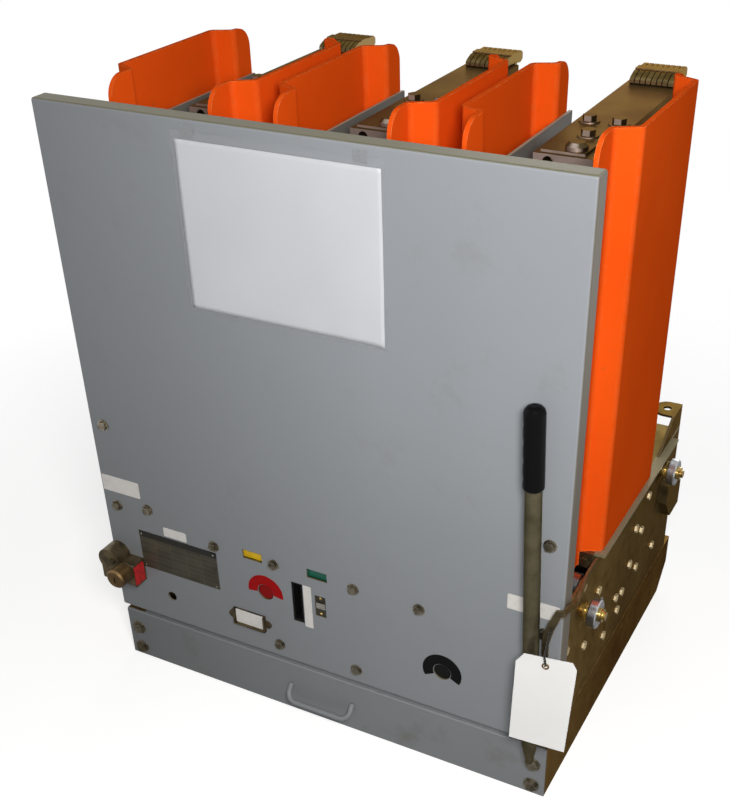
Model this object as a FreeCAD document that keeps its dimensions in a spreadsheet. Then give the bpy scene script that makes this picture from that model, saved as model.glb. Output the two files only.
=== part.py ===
# Drawout vacuum circuit breaker, three poles, front-mounted stored-energy mechanism.
# Millimetres. +Z is up, +Y runs from the front cover to the rear, +X is to the right of someone
# facing the cover. The origin is on the floor plane, on the centre line, at the cover's front face.
import FreeCAD, Part
import Sketcher
import math
import os
import re
from FreeCAD import Vector

doc = FreeCAD.newDocument("Breaker")
sheet = doc.addObject("Spreadsheet::Sheet", "sizes")

SIZES = [
    # width that the base, the side plates and the cover share
    ("base_half", 363, "half the width of the base"),
    ("plate_inset", 6, "side plates' inner faces, inside the base's outer faces"),
    ("cover_lap", 9, "how far the cover laps the base on each side"),
    # front cover, a folded sheet pan that opens to the rear
    ("cover_width", "=2 * (base_half + cover_lap)", "outside width of the cover"),
    ("cover_height", 800, "outside height of the cover"),
    ("cover_bottom", 96, "underside of the cover above the floor"),
    ("cover_depth", 25, "depth of the folded rim"),
    ("cover_sheet", 2.5, "sheet of the cover"),
    ("cover_bend", 3.5, "outer radius of the folded edges"),
    # things set in the cover
    ("flag_level", 274.5, "height of both flag windows"),
    ("flag_window_width", 33, "flag window width"),
    ("flag_window_height", 15.5, "flag window height"),
    ("spring_flag_x", -105.5, "spring flag window, from the centre line"),
    ("position_flag_x", 3.2, "position flag window, from the centre line"),
    ("button_hole", 13.5, "radius of the holes for both buttons"),
    ("trip_x", -87.5, "trip button, from the centre line"),
    ("trip_level", 214.5, "trip button height"),
    ("close_x", 201, "close button, from the centre line"),
    ("close_level", 171.5, "close button height"),
    ("slot_x", -32, "charging slot, from the centre line"),
    ("slot_level", 214.5, "charging slot height"),
    ("slot_width", 18.5, "charging slot bezel width"),
    ("slot_height", 71.5, "charging slot bezel height"),
    ("counter_x", 6.5, "counter, from the centre line"),
    ("counter_level", 220, "counter height"),
    ("counter_width", 18, "counter window width"),
    ("counter_height", 37, "counter window height"),
    ("sight_hole_x", -267, "sight hole, from the centre line"),
    ("sight_hole_level", 146, "sight hole height"),
    ("sight_hole_radius", 8, "sight hole radius"),
    ("fit_gap", 0.2, "gap round parts set in the cover"),
    # cover screws
    ("post_inset", 16, "cover posts' screws, inside the base's outer faces"),
    ("post_x", "=base_half - post_inset", "cover posts and their screws, from the centre line"),
    ("screw_level_high", 434, "upper post screw height"),
    ("screw_level_mid", 294, "lower post screw height"),
    ("screw_row_high", 271, "upper row of mechanism screws"),
    ("screw_row_low", 121.5, "lower row of mechanism screws"),
    ("screw_head", 7, "screw head radius"),
    ("screw_washer", 9, "screw washer radius"),
    ("washer_thick", 1.5, "washer thickness"),
    ("head_thick", 4, "bolt and screw head height"),
    # lower front panel and the base
    ("base_height", 92, "height of the base channels"),
    ("base_length", 575, "length of the base, front to rear"),
    ("base_sheet", 3, "sheet of the base"),
    ("base_flange", 32, "flange of the base channels"),
    ("base_chamfer", 40, "cut at the lower rear corner of the channels"),
    ("panel_height", 92, "height of the lower front panel"),
    ("panel_sheet", 3, "sheet of the lower front panel"),
    ("panel_flange", 28, "folded depth of the lower front panel"),
    ("panel_bolt_inset", 19, "panel bolts, inside the base's outer faces"),
    ("panel_bolt_x", "=base_half - panel_bolt_inset", "panel bolts, from the centre line"),
    ("panel_bolt_high", 58, "upper panel bolt height"),
    ("panel_bolt_low", 17.5, "lower panel bolt height"),
    ("panel_bolt_head", 9.5, "panel bolt head radius"),
    ("panel_washer", 12, "panel bolt washer radius"),
    ("cross_front", 60, "front cross member, front of its web"),
    ("cross_rear", 515, "rear cross member, rear of its web"),
    ("cross_flange", 30, "flange of the cross members"),
    ("handle_half", 53.5, "half the span of the pull handle"),
    ("handle_level", 52, "height of the pull handle's ends"),
    ("handle_drop", 21, "drop of the pull handle's grip"),
    ("handle_reach", 17, "reach of the pull handle in front of the panel"),
    ("handle_rod", 4, "radius of the pull handle's rod"),
    ("handle_bend", 15, "bend radius of the pull handle"),
    # mechanism side plates
    ("plate_inner", "=base_half - plate_inset", "inner face of the side plates, from the centre line"),
    ("plate_thick", 4, "thickness of the side plates"),
    ("plate_top", 311, "top of the side plates"),
    ("plate_lip", 11.5, "outward lip along the top of the side plates"),
    ("lip_front", 156, "front end of the lip"),
    ("lip_rear", 506, "rear end of the lip"),
    ("rear_ear_front", 452, "front of the rear ear"),
    ("rear_ear_rear", 552, "rear edge of the side plates"),
    ("rear_ear_top", 362, "top of the rear ear"),
    ("tab_reach", 34, "reach of the lifting tab inwards from the side plate"),
    ("tab_hole", 6.5, "radius of the lifting tab's hole"),
    ("stop_thick", 14, "thickness of the stop block under the rear roller"),
    ("side_bolt_head", 7, "radius of the side bolt heads"),
    # deck, mechanism frame
    ("deck_thick", 5, "thickness of the deck"),
    ("deck_top", 325, "top of the deck"),
    ("deck_front", 152, "front edge of the deck"),
    ("deck_rear", 540, "rear edge of the deck"),
    ("deck_skirt", 20, "folded edge under the deck"),
    ("wall_drop", 22, "how far the walls' front edges hang below the deck's top"),
    ("front_plate_thick", 3, "thickness of the mechanism's front plate"),
    ("front_plate_left", -186, "left edge of the mechanism's front plate"),
    ("front_plate_right", 222, "right edge of the mechanism's front plate"),
    ("front_plate_low", 106, "lower edge of the mechanism's front plate"),
    ("front_plate_high", 286, "upper edge of the mechanism's front plate"),
    ("spacer_radius", 8, "radius of the spacers between plate and cover"),
    ("frame_half", 150, "centre of the mechanism's inner plates, from the centre line"),
    ("frame_plate", 6, "thickness of the mechanism's inner plates"),
    ("frame_rear", 300, "rear edge of the mechanism's inner plates"),
    # poles
    ("pole_pitch", 254, "distance between poles"),
    ("wall_half", 111.6, "outer face of a support wall, from the pole's centre"),
    ("wall_thick", 6, "thickness of the support walls"),
    ("wall_step", 30, "inward step at both ends of the walls"),
    ("wall_front", 104, "front edge of the walls"),
    ("step_front_start", 151, "front step, inner bend"),
    ("step_front_end", 166, "front step, outer bend"),
    ("step_rear_start", 385, "rear step, outer bend"),
    ("step_rear_end", 398, "rear step, inner bend"),
    ("wall_rear", 432, "rear edge of the walls"),
    ("support_height", 575, "height of the supports above the deck"),
    ("corner_round", 28, "rounded corners of the walls"),
    ("bend_round", 9, "inner radius of the moulded steps"),
    ("web_thick", 12, "thickness of the support's cross webs"),
    ("foot_front", 180, "front of the foot web"),
    ("foot_rear", 372, "rear of the foot web"),
    ("shelf_level", 504, "underside of the shelf under the lower bar"),
    ("bridge_front", 345, "front of the upper bridge"),
    ("bridge_level", 783, "underside of the upper bridge"),
    ("rod_passage", 24, "radius of the holes that the drive rods pass"),
    ("brace_offset", 65, "inner face of the braces, from the pole's centre"),
    ("brace_sheet", 4.5, "thickness of the braces"),
    ("brace_height", 39, "height of the braces"),
    ("brace_front", 130, "front end of the braces"),
    ("brace_rear", 425, "rear end of the braces"),
    # conductors
    ("bar_width", 76.2, "width of the conductor bars"),
    ("bar_thick", 19, "thickness of the conductor bars"),
    ("bar_rear", 600, "rear end of the bars"),
    ("top_drop", 60, "upper bars' top below the top of the supports"),
    ("upper_bar_front", 216, "front end of the upper bars"),
    ("lower_bar_front", 196, "front end of the lower bars"),
    ("bar_end_hole", 7, "radius of the tapped hole in the upper bar's front end"),
    ("bar_hole_offset", 19, "offset of that hole from the pole's centre"),
    ("collar_radius", 27, "radius of the contact collar on the lower bar"),
    ("collar_height", 14, "height of the contact collar"),
    ("stud_x", 9, "top stud, from the pole's centre"),
    ("stud_nut", 14, "radius of the top stud's domed nut"),
    ("stud_nut_height", 9, "height of the domed nut"),
    ("pad_left", 31, "left end of the clamp pad, from the pole's centre"),
    ("pad_right", 26, "right end of the clamp pad, from the pole's centre"),
    ("pad_front", 17, "front edge of the clamp pad, ahead of the stud"),
    ("pad_back", 28, "rear edge of the clamp pad, behind the stud"),
    ("pad_thick", 3, "thickness of the clamp pad"),
    ("bar_bolt_head", 9.5, "radius of the bar bolts' heads"),
    ("bar_bolt_height", 7, "height of the bar bolts' heads"),
    ("bar_bolt_washer", 14, "radius of the bar bolts' washers"),
    ("bar_bolt_gauge", 40, "distance between the two rear bar bolts"),
    ("bar_bolt_y", 366, "place of the rear bar bolts"),
    ("bar_bolt_front", 305, "place of the front bar bolt"),
    # disconnect fingers
    ("finger_width", 6.4, "width of one finger"),
    ("finger_pitch", 8, "finger pitch"),
    ("finger_count", 8, "fingers in one row"),
    ("finger_length", 72, "length of a finger"),
    ("finger_lap", 40, "how far the fingers lap the bar"),
    ("finger_gap", 16, "gap between the rows where the fixed bar enters"),
    ("finger_rise", 14.5, "height of the fingers above the bar's face"),
    ("keeper_depth", 9, "depth of the block between the rows"),
    ("keeper_pad", 1.6, "thickness of the spring leaf on each row"),
    # interrupter and moving contact
    ("stem_y", 240, "vertical axis of the interrupters, from the cover's face"),
    ("bottle_radius", 47, "radius of the ceramic"),
    ("bottle_wall", 6, "wall of the ceramic"),
    ("bottle_low", 562, "underside of the interrupter"),
    ("bottle_high", 776, "top of the interrupter"),
    ("band_radius", 51, "radius of the metal band"),
    ("fixed_stem", 16, "radius of the fixed stem"),
    ("contact_radius", 25, "radius of the contacts"),
    ("contact_thick", 9, "thickness of the contacts"),
    ("contact_level", 668, "face of the fixed contact"),
    ("contact_gap", 11.2, "gap between the open contacts"),
    ("stem_radius", 11, "radius of the moving stem"),
    ("rod_radius", 19, "radius of the insulating drive rod"),
    ("rod_top", 446, "top of the insulating drive rod"),
    ("running_gap", 0.05, "radial clearance of the running fits"),
    # main shaft
    ("shaft_radius", 15, "radius of the main shaft"),
    ("shaft_level", 205, "height of the main shaft"),
    ("crank_length", 45, "crank, shaft to pin"),
    ("crank_angle", 7, "angle of the cranks below level with the contacts open"),
    ("crank_thick", 12, "thickness of the cranks"),
    ("crank_pin", 6, "radius of the crank pins"),
    ("fork_ear", 8, "thickness of each fork ear"),
    # charging shaft
    ("cam_shaft_radius", 12, "radius of the charging shaft"),
    ("cam_shaft_y", 95, "charging shaft, from the cover's face"),
    ("cam_shaft_level", 190, "charging shaft height"),
    ("ratchet_radius", 44, "radius of the ratchet wheel at its tooth tips"),
    ("ratchet_teeth", 16, "teeth of the ratchet wheel"),
    ("cam_radius", 38, "largest radius of the closing cam"),
    # rollers
    ("roller_radius", 20.8, "radius of the track rollers"),
    ("roller_width", 13, "width of the track rollers"),
    ("roller_bore", 8, "radius of the roller pins"),
    ("roller_standoff", 13, "spacer between side plate and track roller"),
    ("roller_level", 264, "height of the front track rollers"),
    ("roller_front", 106, "front track rollers, from the cover's face"),
    ("roller_rear", 462, "rear track rollers, from the cover's face"),
    ("roller_step", 27, "how much higher the rear track rollers sit than the front ones"),
    ("roller_rear_level", "=roller_level + roller_step", "height of the rear track rollers"),
    ("roller_end_gap", 0.3, "end play of the rollers"),
    ("pin_head", 12, "radius of the roller pins' heads"),
    ("pin_nut", 5, "height of the nuts that hold the track rollers"),
    ("pin_end", 4, "thread standing out of those nuts"),
    ("guide_radius", 17, "radius of the guide roller"),
    ("guide_width", 13, "width of the guide roller"),
    ("guide_bore", 6, "radius of the guide roller's pin"),
    ("guide_y", 118, "guide roller, from the cover's face"),
    ("guide_level", 293, "height of the guide roller"),
    # charging handle and its clip
    ("tube_radius", 10.65, "radius of the charging handle's tube"),
    ("tube_inset", 24, "handle's axis at floor level, inside the cover's right edge"),
    ("tube_x", "=cover_width / 2 - tube_inset", "handle's axis at floor level, from the centre line"),
    ("tube_y", -20, "handle's axis, from the cover's face"),
    ("tube_lean", 2.15, "lean of the handle"),
    ("tube_foot", 112, "lower end of the round tube, along the handle"),
    ("foot_length", 36, "length of the tapered foot"),
    ("foot_tip", 4.5, "radius of the foot's tip"),
    ("tube_collar", 2, "how far the collar over the ring stands out of the tube"),
    ("grip_low", 525, "lower end of the grip, along the handle"),
    ("grip_length", 110, "length of the grip"),
    ("grip_radius", 13.4, "radius of the grip"),
    ("grip_bore", 7.4, "radius of the tube inside the grip"),
    ("grip_notch", 3.2, "depth of the finger hollows in the grip"),
    ("clip_sheet", 3, "thickness of the handle clip"),
    ("clip_height", 12, "height of the clip's strap"),
    ("clip_rise", 28, "rise of the strap from the side plate to the cover's edge"),
    ("rim_gap", 2, "gap between the strap and the cover's rim"),
    ("ring_level", 228, "underside of the clip's ring"),
    ("ring_height", 16, "height of the clip's ring"),
    ("ring_wall", 4, "wall of the clip's ring"),
    ("ring_gap", 1.2, "gap between ring and handle"),
    # key lock
    ("lock_inset", 59, "right face of the key lock, inside the cover's left edge"),
    ("lock_right", "=-cover_width / 2 + lock_inset", "right face of the key lock, from the centre line"),
    ("lock_length", 62, "length of the key lock"),
    ("lock_low", 165, "underside of the key lock"),
    ("lock_height", 40, "height of the key lock"),
    ("lock_depth", 28, "depth of the key lock"),
    ("lock_knob_inset", 18, "key cylinder, from the lock's right face"),
    ("lock_knob_level", 192, "key cylinder height"),
    ("lock_knob_radius", 16.5, "radius of the key cylinder"),
    ("lock_knob_length", 25, "length of the key cylinder"),
    ("lock_boss_inset", 46, "round boss of the lock, from the lock's right face"),
    ("lock_boss_level", 204, "round boss of the lock, height"),
    ("lock_boss_radius", 20, "radius of the lock's round boss"),
    ("lock_screw", 5.5, "radius of the screw in the boss"),
    ("lock_screw_stand", 3, "height of that screw's head"),
    # plates on the cover
    ("plate_card_x", -120.5, "card holder, from the centre line"),
    ("plate_card_level", 152.5, "card holder height"),
    ("card_width", 56, "card holder width"),
    ("card_height", 29, "card holder height"),
    ("rating_inset", 130, "centre of the rating plate, from the cover's left edge"),
    ("rating_x", "=-cover_width / 2 + rating_inset", "rating plate, from the centre line"),
    ("rating_level", 225, "rating plate height"),
    ("rating_width", 142, "rating plate width"),
    ("rating_height", 68, "rating plate height"),
    ("rating_thick", 0.8, "rating plate thickness"),
    # buttons and flags
    ("button_gap", 0.5, "gap between a button and its hole"),
    ("button_recess", 1.5, "buttons' faces behind the cover's face"),
    ("button_length", 10, "length of a button's head"),
    ("button_stem", 4, "radius of a button's stem"),
    ("flag_travel", 17, "travel of the flags"),
    ("flag_sheet", 1.5, "thickness of the flags"),
    ("flag_setback", 5, "flags behind the cover's front face"),
    ("flag_pin", 2.5, "radius of the flags' pins"),
    # charging motor, springs, coils
    ("motor_radius", 40, "radius of the charging motor"),
    ("motor_length", 120, "length of the charging motor"),
    ("motor_y", 110, "axis of the charging motor, from the cover's face"),
    ("motor_level", 190, "axis of the charging motor, height"),
    ("spring_radius", 22, "outer radius of the closing spring"),
    ("spring_wire", 6, "wire of the closing spring"),
    ("spring_x", -190, "closing spring, from the centre line"),
    ("spring_level", 150, "closing spring height"),
    ("spring_front", 166, "front end of the closing spring"),
    ("spring_coils", 9, "turns of the closing spring"),
    ("spring_pitch", 16, "pitch of the closing spring"),
    ("spring_anchor_thick", 8, "thickness of the anchor at each end of the closing spring"),
    ("spring_anchor_half", 14, "half width of the anchor's neck under the deck"),
    ("coil_radius", 20, "radius of the release coils"),
    ("coil_length", 46, "length of the release coils"),
    ("coil_plate", 6, "thickness of the coils' foot plates"),
    ("coil_foot", 24, "half the width of the coils' foot plates"),
    ("trip_coil_side", 30, "trip coil, to the left of the trip button"),
    ("trip_coil_drop", 52, "trip coil, below the trip button"),
    ("close_coil_side", 19, "closing coil, to the left of the close button"),
    ("close_coil_rise", 80, "closing coil, above the close button"),
]
for row, (name, value, note) in enumerate(SIZES, 1):
    sheet.set("A%d" % row, name)
    sheet.set("B%d" % row, str(value))
    sheet.setAlias("B%d" % row, name)
    sheet.set("C%d" % row, note)
doc.recompute()
NAMES = set(item[0] for item in SIZES)
PARTS = []


def V(name):
    """The present value of a named size."""
    return float(sheet.get(name))


def E(text):
    """An expression in terms of the sheet's names."""
    return re.sub(r"[a-z][a-z_]+", lambda m: "sizes." + m.group(0) if m.group(0) in NAMES else m.group(0),
                  str(text))


def flip(side, text):
    """An X coordinate on the right (side +1) or its mirror on the left (side -1)."""
    return "(%s)" % text if side > 0 else "-(%s)" % text


def new_body(label):
    body = doc.addObject("PartDesign::Body", label)
    body.Label = label
    if hasattr(body, "AllowCompound"):
        body.AllowCompound = True
    PARTS.append(body)
    return body


def put(obj, x=None, y=None, z=None):
    for axis, text in (("x", x), ("y", y), ("z", z)):
        if text is not None:
            obj.setExpression("Placement.Base." + axis, E(text))


def origin_plane(body, role):
    for item in body.Origin.OriginFeatures:
        if item.Role == role:
            return item


def pin_point(sk, geo, pos, x, y):
    """Hold one sketch point at the coordinates x, y."""
    for kind, axis, text in (("DistanceX", -2, x), ("DistanceY", -1, y)):
        if str(text) == "0":
            sk.addConstraint(Sketcher.Constraint("PointOnObject", geo, pos, axis))
        else:
            index = sk.addConstraint(Sketcher.Constraint(kind, -1, 1, geo, pos, 1.0))
            sk.setExpression("Constraints[%d]" % index, E(text))


def draw(body, role, off, loops):
    """A sketch on an origin plane, moved by off along the plane's global axis."""
    sk = body.newObject("Sketcher::SketchObject", "Sketch")
    sk.AttachmentSupport = [(origin_plane(body, role), "")]
    sk.MapMode = "FlatFace"
    sk.setExpression("AttachmentOffset.Base.z", E("-(%s)" % off if role == "XZ_Plane" else off))
    for loop in loops:
        if loop[0] == "circle":
            geo = sk.addGeometry(Part.Circle(Vector(0, 0, 0), Vector(0, 0, 1), 5.0), False)
            index = sk.addConstraint(Sketcher.Constraint("Radius", geo, 5.0))
            sk.setExpression("Constraints[%d]" % index, E(loop[3]))
            pin_point(sk, geo, 3, loop[1], loop[2])
        else:
            count = len(loop)
            ring = [Vector(60 * math.cos(2 * math.pi * k / count), 60 * math.sin(2 * math.pi * k / count), 0)
                    for k in range(count)]
            first = None
            for k in range(count):
                geo = sk.addGeometry(Part.LineSegment(ring[k], ring[(k + 1) % count]), False)
                first = geo if first is None else first
            for k in range(count):
                nxt = first + (k + 1) % count
                sk.addConstraint(Sketcher.Constraint("Coincident", first + k, 2, nxt, 1))
            for k, (x, y) in enumerate(loop):
                pin_point(sk, first + k, 1, x, y)
    return sk


def pad(body, role, off, length, *loops):
    """Material from off to off + length along the plane's global axis."""
    sk = draw(body, role, off, loops)
    feat = body.newObject("PartDesign::Pad", "Pad")
    feat.Profile = sk
    feat.setExpression("Length", E(length))
    feat.Reversed = role == "XZ_Plane"
    return feat


def cut(body, role, off, length, *loops):
    """Cut from off to off + length along the plane's global axis."""
    sk = draw(body, role, off, loops)
    feat = body.newObject("PartDesign::Pocket", "Pocket")
    feat.Profile = sk
    feat.setExpression("Length", E(length))
    feat.Reversed = role != "XZ_Plane"
    return feat


def turn(body, role, axis, loop):
    """A full revolution of a profile about the sketch's own axis."""
    sk = draw(body, role, "0", [loop])
    feat = body.newObject("PartDesign::Revolution", "Revolution")
    feat.Profile = sk
    feat.ReferenceAxis = (sk, [axis])
    feat.Angle = 360
    return feat


def rect(x0, y0, x1, y1):
    return [(x0, y0), (x1, y0), (x1, y1), (x0, y1)]


def hexagon(x, y, r):
    return [("%s + (%s) * %.6f" % (x, r, math.cos(math.radians(60 * k))),
             "%s + (%s) * %.6f" % (y, r, math.sin(math.radians(60 * k)))) for k in range(6)]


def soften(body, radius, test, kind="PartDesign::Fillet"):
    """Fillet or chamfer the edges of the present shape that pass the test."""
    doc.recompute()
    base = body.Tip
    names = ["Edge%d" % (k + 1) for k, edge in enumerate(base.Shape.Edges) if test(edge)]
    if not names:
        raise RuntimeError("no edge to soften on " + body.Label)
    feat = body.newObject(kind, "Soft")
    feat.Base = (base, names)
    feat.setExpression("Radius" if kind.endswith("Fillet") else "Size", E(radius))
    return feat


def near(a, b, tol=0.02):
    return abs(a - b) < tol


def along(edge, axis):
    """True for a straight edge parallel to a global axis."""
    if not isinstance(edge.Curve, (Part.Line, Part.LineSegment)) or len(edge.Vertexes) < 2:
        return False
    d = edge.Vertexes[1].Point - edge.Vertexes[0].Point
    rest = [abs(v) for k, v in enumerate((d.x, d.y, d.z)) if k != "xyz".index(axis)]
    return max(rest) < 1e-6


POLES = [(1, -1), (2, 0), (3, 1)]
CROSS_SCREWS = [("-173", "screw_row_high"), ("-69", "screw_row_high"), ("62.5", "screw_row_high"),
                ("165.5", "screw_row_high"), ("-70", "screw_row_low"), ("62", "screw_row_low")]


# ---------------------------------------------------------------- front cover
def front_cover():
    body = new_body("front_cover")
    half = "cover_width / 2"
    pad(body, "XZ_Plane", "0", "cover_depth",
        rect("-" + half, "cover_bottom", half, "cover_bottom + cover_height"))
    soften(body, "cover_bend",
           lambda e: (all(near(v.Y, 0) for v in e.Vertexes)) or along(e, "y"))
    cut(body, "XZ_Plane", "cover_sheet", "cover_depth",
        rect("-%s + cover_sheet" % half, "cover_bottom + cover_sheet",
             "%s - cover_sheet" % half, "cover_bottom + cover_height - cover_sheet"))
    cut(body, "XZ_Plane", "-1", "cover_sheet + 2",
        rect("spring_flag_x - flag_window_width / 2", "flag_level - flag_window_height / 2",
             "spring_flag_x + flag_window_width / 2", "flag_level + flag_window_height / 2"),
        rect("position_flag_x - flag_window_width / 2", "flag_level - flag_window_height / 2",
             "position_flag_x + flag_window_width / 2", "flag_level + flag_window_height / 2"),
        rect("slot_x - slot_width / 2", "slot_level - slot_height / 2",
             "slot_x + slot_width / 2", "slot_level + slot_height / 2"),
        rect("counter_x - counter_width / 2", "counter_level - counter_height / 2",
             "counter_x + counter_width / 2", "counter_level + counter_height / 2"),
        ("circle", "trip_x", "trip_level", "button_hole"),
        ("circle", "close_x", "close_level", "button_hole"),
        ("circle", "sight_hole_x", "sight_hole_level", "sight_hole_radius"))


def cover_posts():
    """Two angles behind the cover that carry it on the side plates."""
    body = new_body("cover_posts")
    for side in (1, -1):
        pad(body, "XY_Plane", "cover_bottom + cover_sheet", "screw_level_high - cover_bottom + 16",
            [(flip(side, "post_x - 19"), "cover_sheet"),
             (flip(side, "post_x + 19"), "cover_sheet"),
             (flip(side, "post_x + 19"), "cover_sheet + base_sheet"),
             (flip(side, "plate_inner + plate_thick"), "cover_sheet + base_sheet"),
             (flip(side, "plate_inner + plate_thick"), "cover_depth"),
             (flip(side, "plate_inner"), "cover_depth"),
             (flip(side, "plate_inner"), "cover_sheet + base_sheet"),
             (flip(side, "post_x - 19"), "cover_sheet + base_sheet")])


def front_fasteners():
    """Screws of the cover and bolts of the lower panel: washer and hexagon head each."""
    body = new_body("front_fasteners")
    screws = CROSS_SCREWS + [("-289", "screw_level_mid + 8")]
    for side in (1, -1):
        screws += [(flip(side, "post_x"), "screw_level_high"), (flip(side, "post_x"), "screw_level_mid")]
    bolts = [(flip(s, "panel_bolt_x"), z) for s in (1, -1) for z in ("panel_bolt_high", "panel_bolt_low")]
    pad(body, "XZ_Plane", "-washer_thick", "washer_thick",
        *[("circle", x, z, "screw_washer") for x, z in screws])
    pad(body, "XZ_Plane", "-washer_thick - head_thick", "head_thick",
        *[hexagon(x, z, "screw_head") for x, z in screws])
    pad(body, "XZ_Plane", "-panel_sheet - washer_thick", "washer_thick",
        *[("circle", x, z, "panel_washer") for x, z in bolts])
    pad(body, "XZ_Plane", "-panel_sheet - washer_thick - head_thick", "head_thick",
        *[hexagon(x, z, "panel_bolt_head") for x, z in bolts])


# ---------------------------------------------------------------- lower panel and base
def lower_front_panel():
    body = new_body("lower_front_panel")
    pad(body, "XZ_Plane", "-panel_sheet", "panel_sheet", rect("-base_half", "0", "base_half", "panel_height"))
    inner = "base_half - base_flange - 1"
    pad(body, "XZ_Plane", "0", "panel_flange",
        rect("-(%s)" % inner, "0", inner, "panel_sheet"),
        rect("-(%s)" % inner, "panel_height - panel_sheet", inner, "panel_height"))
    soften(body, "panel_sheet * 0.8",
           lambda e: along(e, "x") and near(e.Vertexes[0].Y, -V("panel_sheet")))


def pull_handle():
    """A bent rod: two short legs out of the panel, then a hanging grip."""
    obj = doc.addObject("Part::Feature", "pull_handle")
    obj.Label = "pull_handle"
    PARTS.append(obj)
    w, r, rod = V("handle_half"), V("handle_bend"), V("handle_rod")
    y0, reach = -V("panel_sheet"), V("handle_reach")
    drop, z0 = V("handle_drop"), V("handle_level")
    tilt = math.atan2(drop, reach)
    leg = math.hypot(drop, reach)

    def at(x, run):
        return Vector(x, y0 - run * math.cos(tilt), z0 - run * math.sin(tilt))
    k = r * (1 - math.sqrt(0.5))
    edges = []
    for s in (-1, 1):
        edges.append(Part.LineSegment(at(s * w, 0), at(s * w, leg - r)).toShape())
        edges.append(Part.Arc(at(s * w, leg - r), at(s * (w - k), leg - k), at(s * (w - r), leg)).toShape())
    edges.append(Part.LineSegment(at(-w + r, leg), at(w - r, leg)).toShape())
    path = Part.Wire(Part.__sortEdges__(edges))
    start = path.OrderedVertexes[0].Point
    ring = Part.Wire(Part.makeCircle(rod, start, at(start.x, 1) - at(start.x, 0)))
    solid = path.makePipeShell([ring], True, False)
    trim = Part.makeBox(4 * w, 4 * reach, 4 * z0, Vector(-2 * w, y0, -z0))
    obj.Shape = solid.cut(trim)


def base_side(name, side):
    body = new_body(name)
    x0 = "base_half - base_sheet" if side > 0 else "-base_half"
    web = [("0", "0"), ("base_length - base_chamfer", "0"), ("base_length", "base_chamfer"),
           ("base_length", "base_height"), ("0", "base_height")]
    pad(body, "YZ_Plane", x0, "base_sheet", web)
    fx = "base_half - base_flange" if side > 0 else "-base_half + base_sheet"
    pad(body, "YZ_Plane", fx, "base_flange - base_sheet",
        rect("0", "0", "base_length - base_chamfer", "base_sheet"),
        rect("0", "base_height - base_sheet", "base_length", "base_height"),
        rect("0", "base_sheet", "base_sheet", "base_height - base_sheet"))


def base_cross_members():
    body = new_body("base_cross_members")
    half = "base_half - base_sheet"
    for web, far in (("cross_front", "cross_front + cross_flange"), ("cross_rear", "cross_rear - cross_flange")):
        inner = "cross_front + base_sheet" if web == "cross_front" else "cross_rear - base_sheet"
        pad(body, "YZ_Plane", "-(%s)" % half, "2 * (%s)" % half,
            [(web, "base_sheet"), (far, "base_sheet"), (far, "2 * base_sheet"), (inner, "2 * base_sheet"),
             (inner, "base_height - 2 * base_sheet"), (far, "base_height - 2 * base_sheet"),
             (far, "base_height - base_sheet"), (web, "base_height - base_sheet")])


# ---------------------------------------------------------------- side plates and deck
SIDE_BOLTS = [(346, 250), (377, 228), (455, 150), (330, 193), (368, 163), (271, 169), (301, 160),
              (129, 183), (222, 132), (285, 136), (50, 232), (177, 248), (160, 236), (400, 278)]


def mech_side(name, side):
    """Side plate with a rail that carries the supports, a rear lifting tab and a stop block."""
    body = new_body(name)
    x0 = "plate_inner" if side > 0 else "-plate_inner - plate_thick"
    outer = "plate_inner + plate_thick"

    def outward(thick):
        return outer if side > 0 else "-%s - plate_thick - %s" % ("plate_inner", thick)
    pad(body, "YZ_Plane", x0, "plate_thick",
        [("cover_depth", "base_height"), ("rear_ear_rear", "base_height"), ("rear_ear_rear", "rear_ear_top"),
         ("rear_ear_front + 54", "rear_ear_top"), ("rear_ear_front", "deck_top + 6"),
         ("rear_ear_front - 14", "deck_top"), ("lip_front", "deck_top"), ("lip_front", "plate_top"),
         ("cover_depth", "plate_top")])
    pad(body, "YZ_Plane", outward("plate_lip"), "plate_lip",
        rect("lip_front", "deck_top - plate_thick", "lip_rear", "deck_top"))
    tab = "plate_inner - tab_reach" if side > 0 else "-plate_inner"
    pad(body, "YZ_Plane", tab, "tab_reach",
        rect("rear_ear_rear - 44", "rear_ear_top - plate_thick", "rear_ear_rear", "rear_ear_top"))
    end = V("plate_inner") - V("tab_reach")
    soften(body, "20", lambda e: along(e, "z") and near(abs(e.Vertexes[0].X), end))
    cut(body, "XY_Plane", "rear_ear_top - plate_thick - 1", "plate_thick + 2",
        ("circle", flip(side, "plate_inner - tab_reach + 20"), "rear_ear_rear - 22", "tab_hole"))
    cut(body, "YZ_Plane", x0 + " - 1", "plate_thick + 2",
        ("circle", "roller_front", "roller_level", "roller_bore"),
        ("circle", "roller_rear", "roller_rear_level", "roller_bore"),
        ("circle", "stem_y - crank_length", "shaft_level", "shaft_radius + running_gap"))
    if side > 0:
        cut(body, "YZ_Plane", x0 + " - 1", "plate_thick + 2", ("circle", "guide_y", "guide_level", "guide_bore"))
    pad(body, "YZ_Plane", outward("stop_thick"), "stop_thick",
        [("roller_rear + 6", "roller_rear_level - 66"), ("roller_rear + 40", "roller_rear_level - 108"),
         ("roller_rear + 86", "roller_rear_level - 108"), ("roller_rear + 86", "roller_rear_level - 64"),
         ("roller_rear + 40", "roller_rear_level - 32"), ("roller_rear + 6", "roller_rear_level - 32")])
    pad(body, "YZ_Plane", outward("head_thick"), "head_thick",
        *[hexagon(str(y), str(z), "side_bolt_head") for y, z in SIDE_BOLTS])


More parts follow.
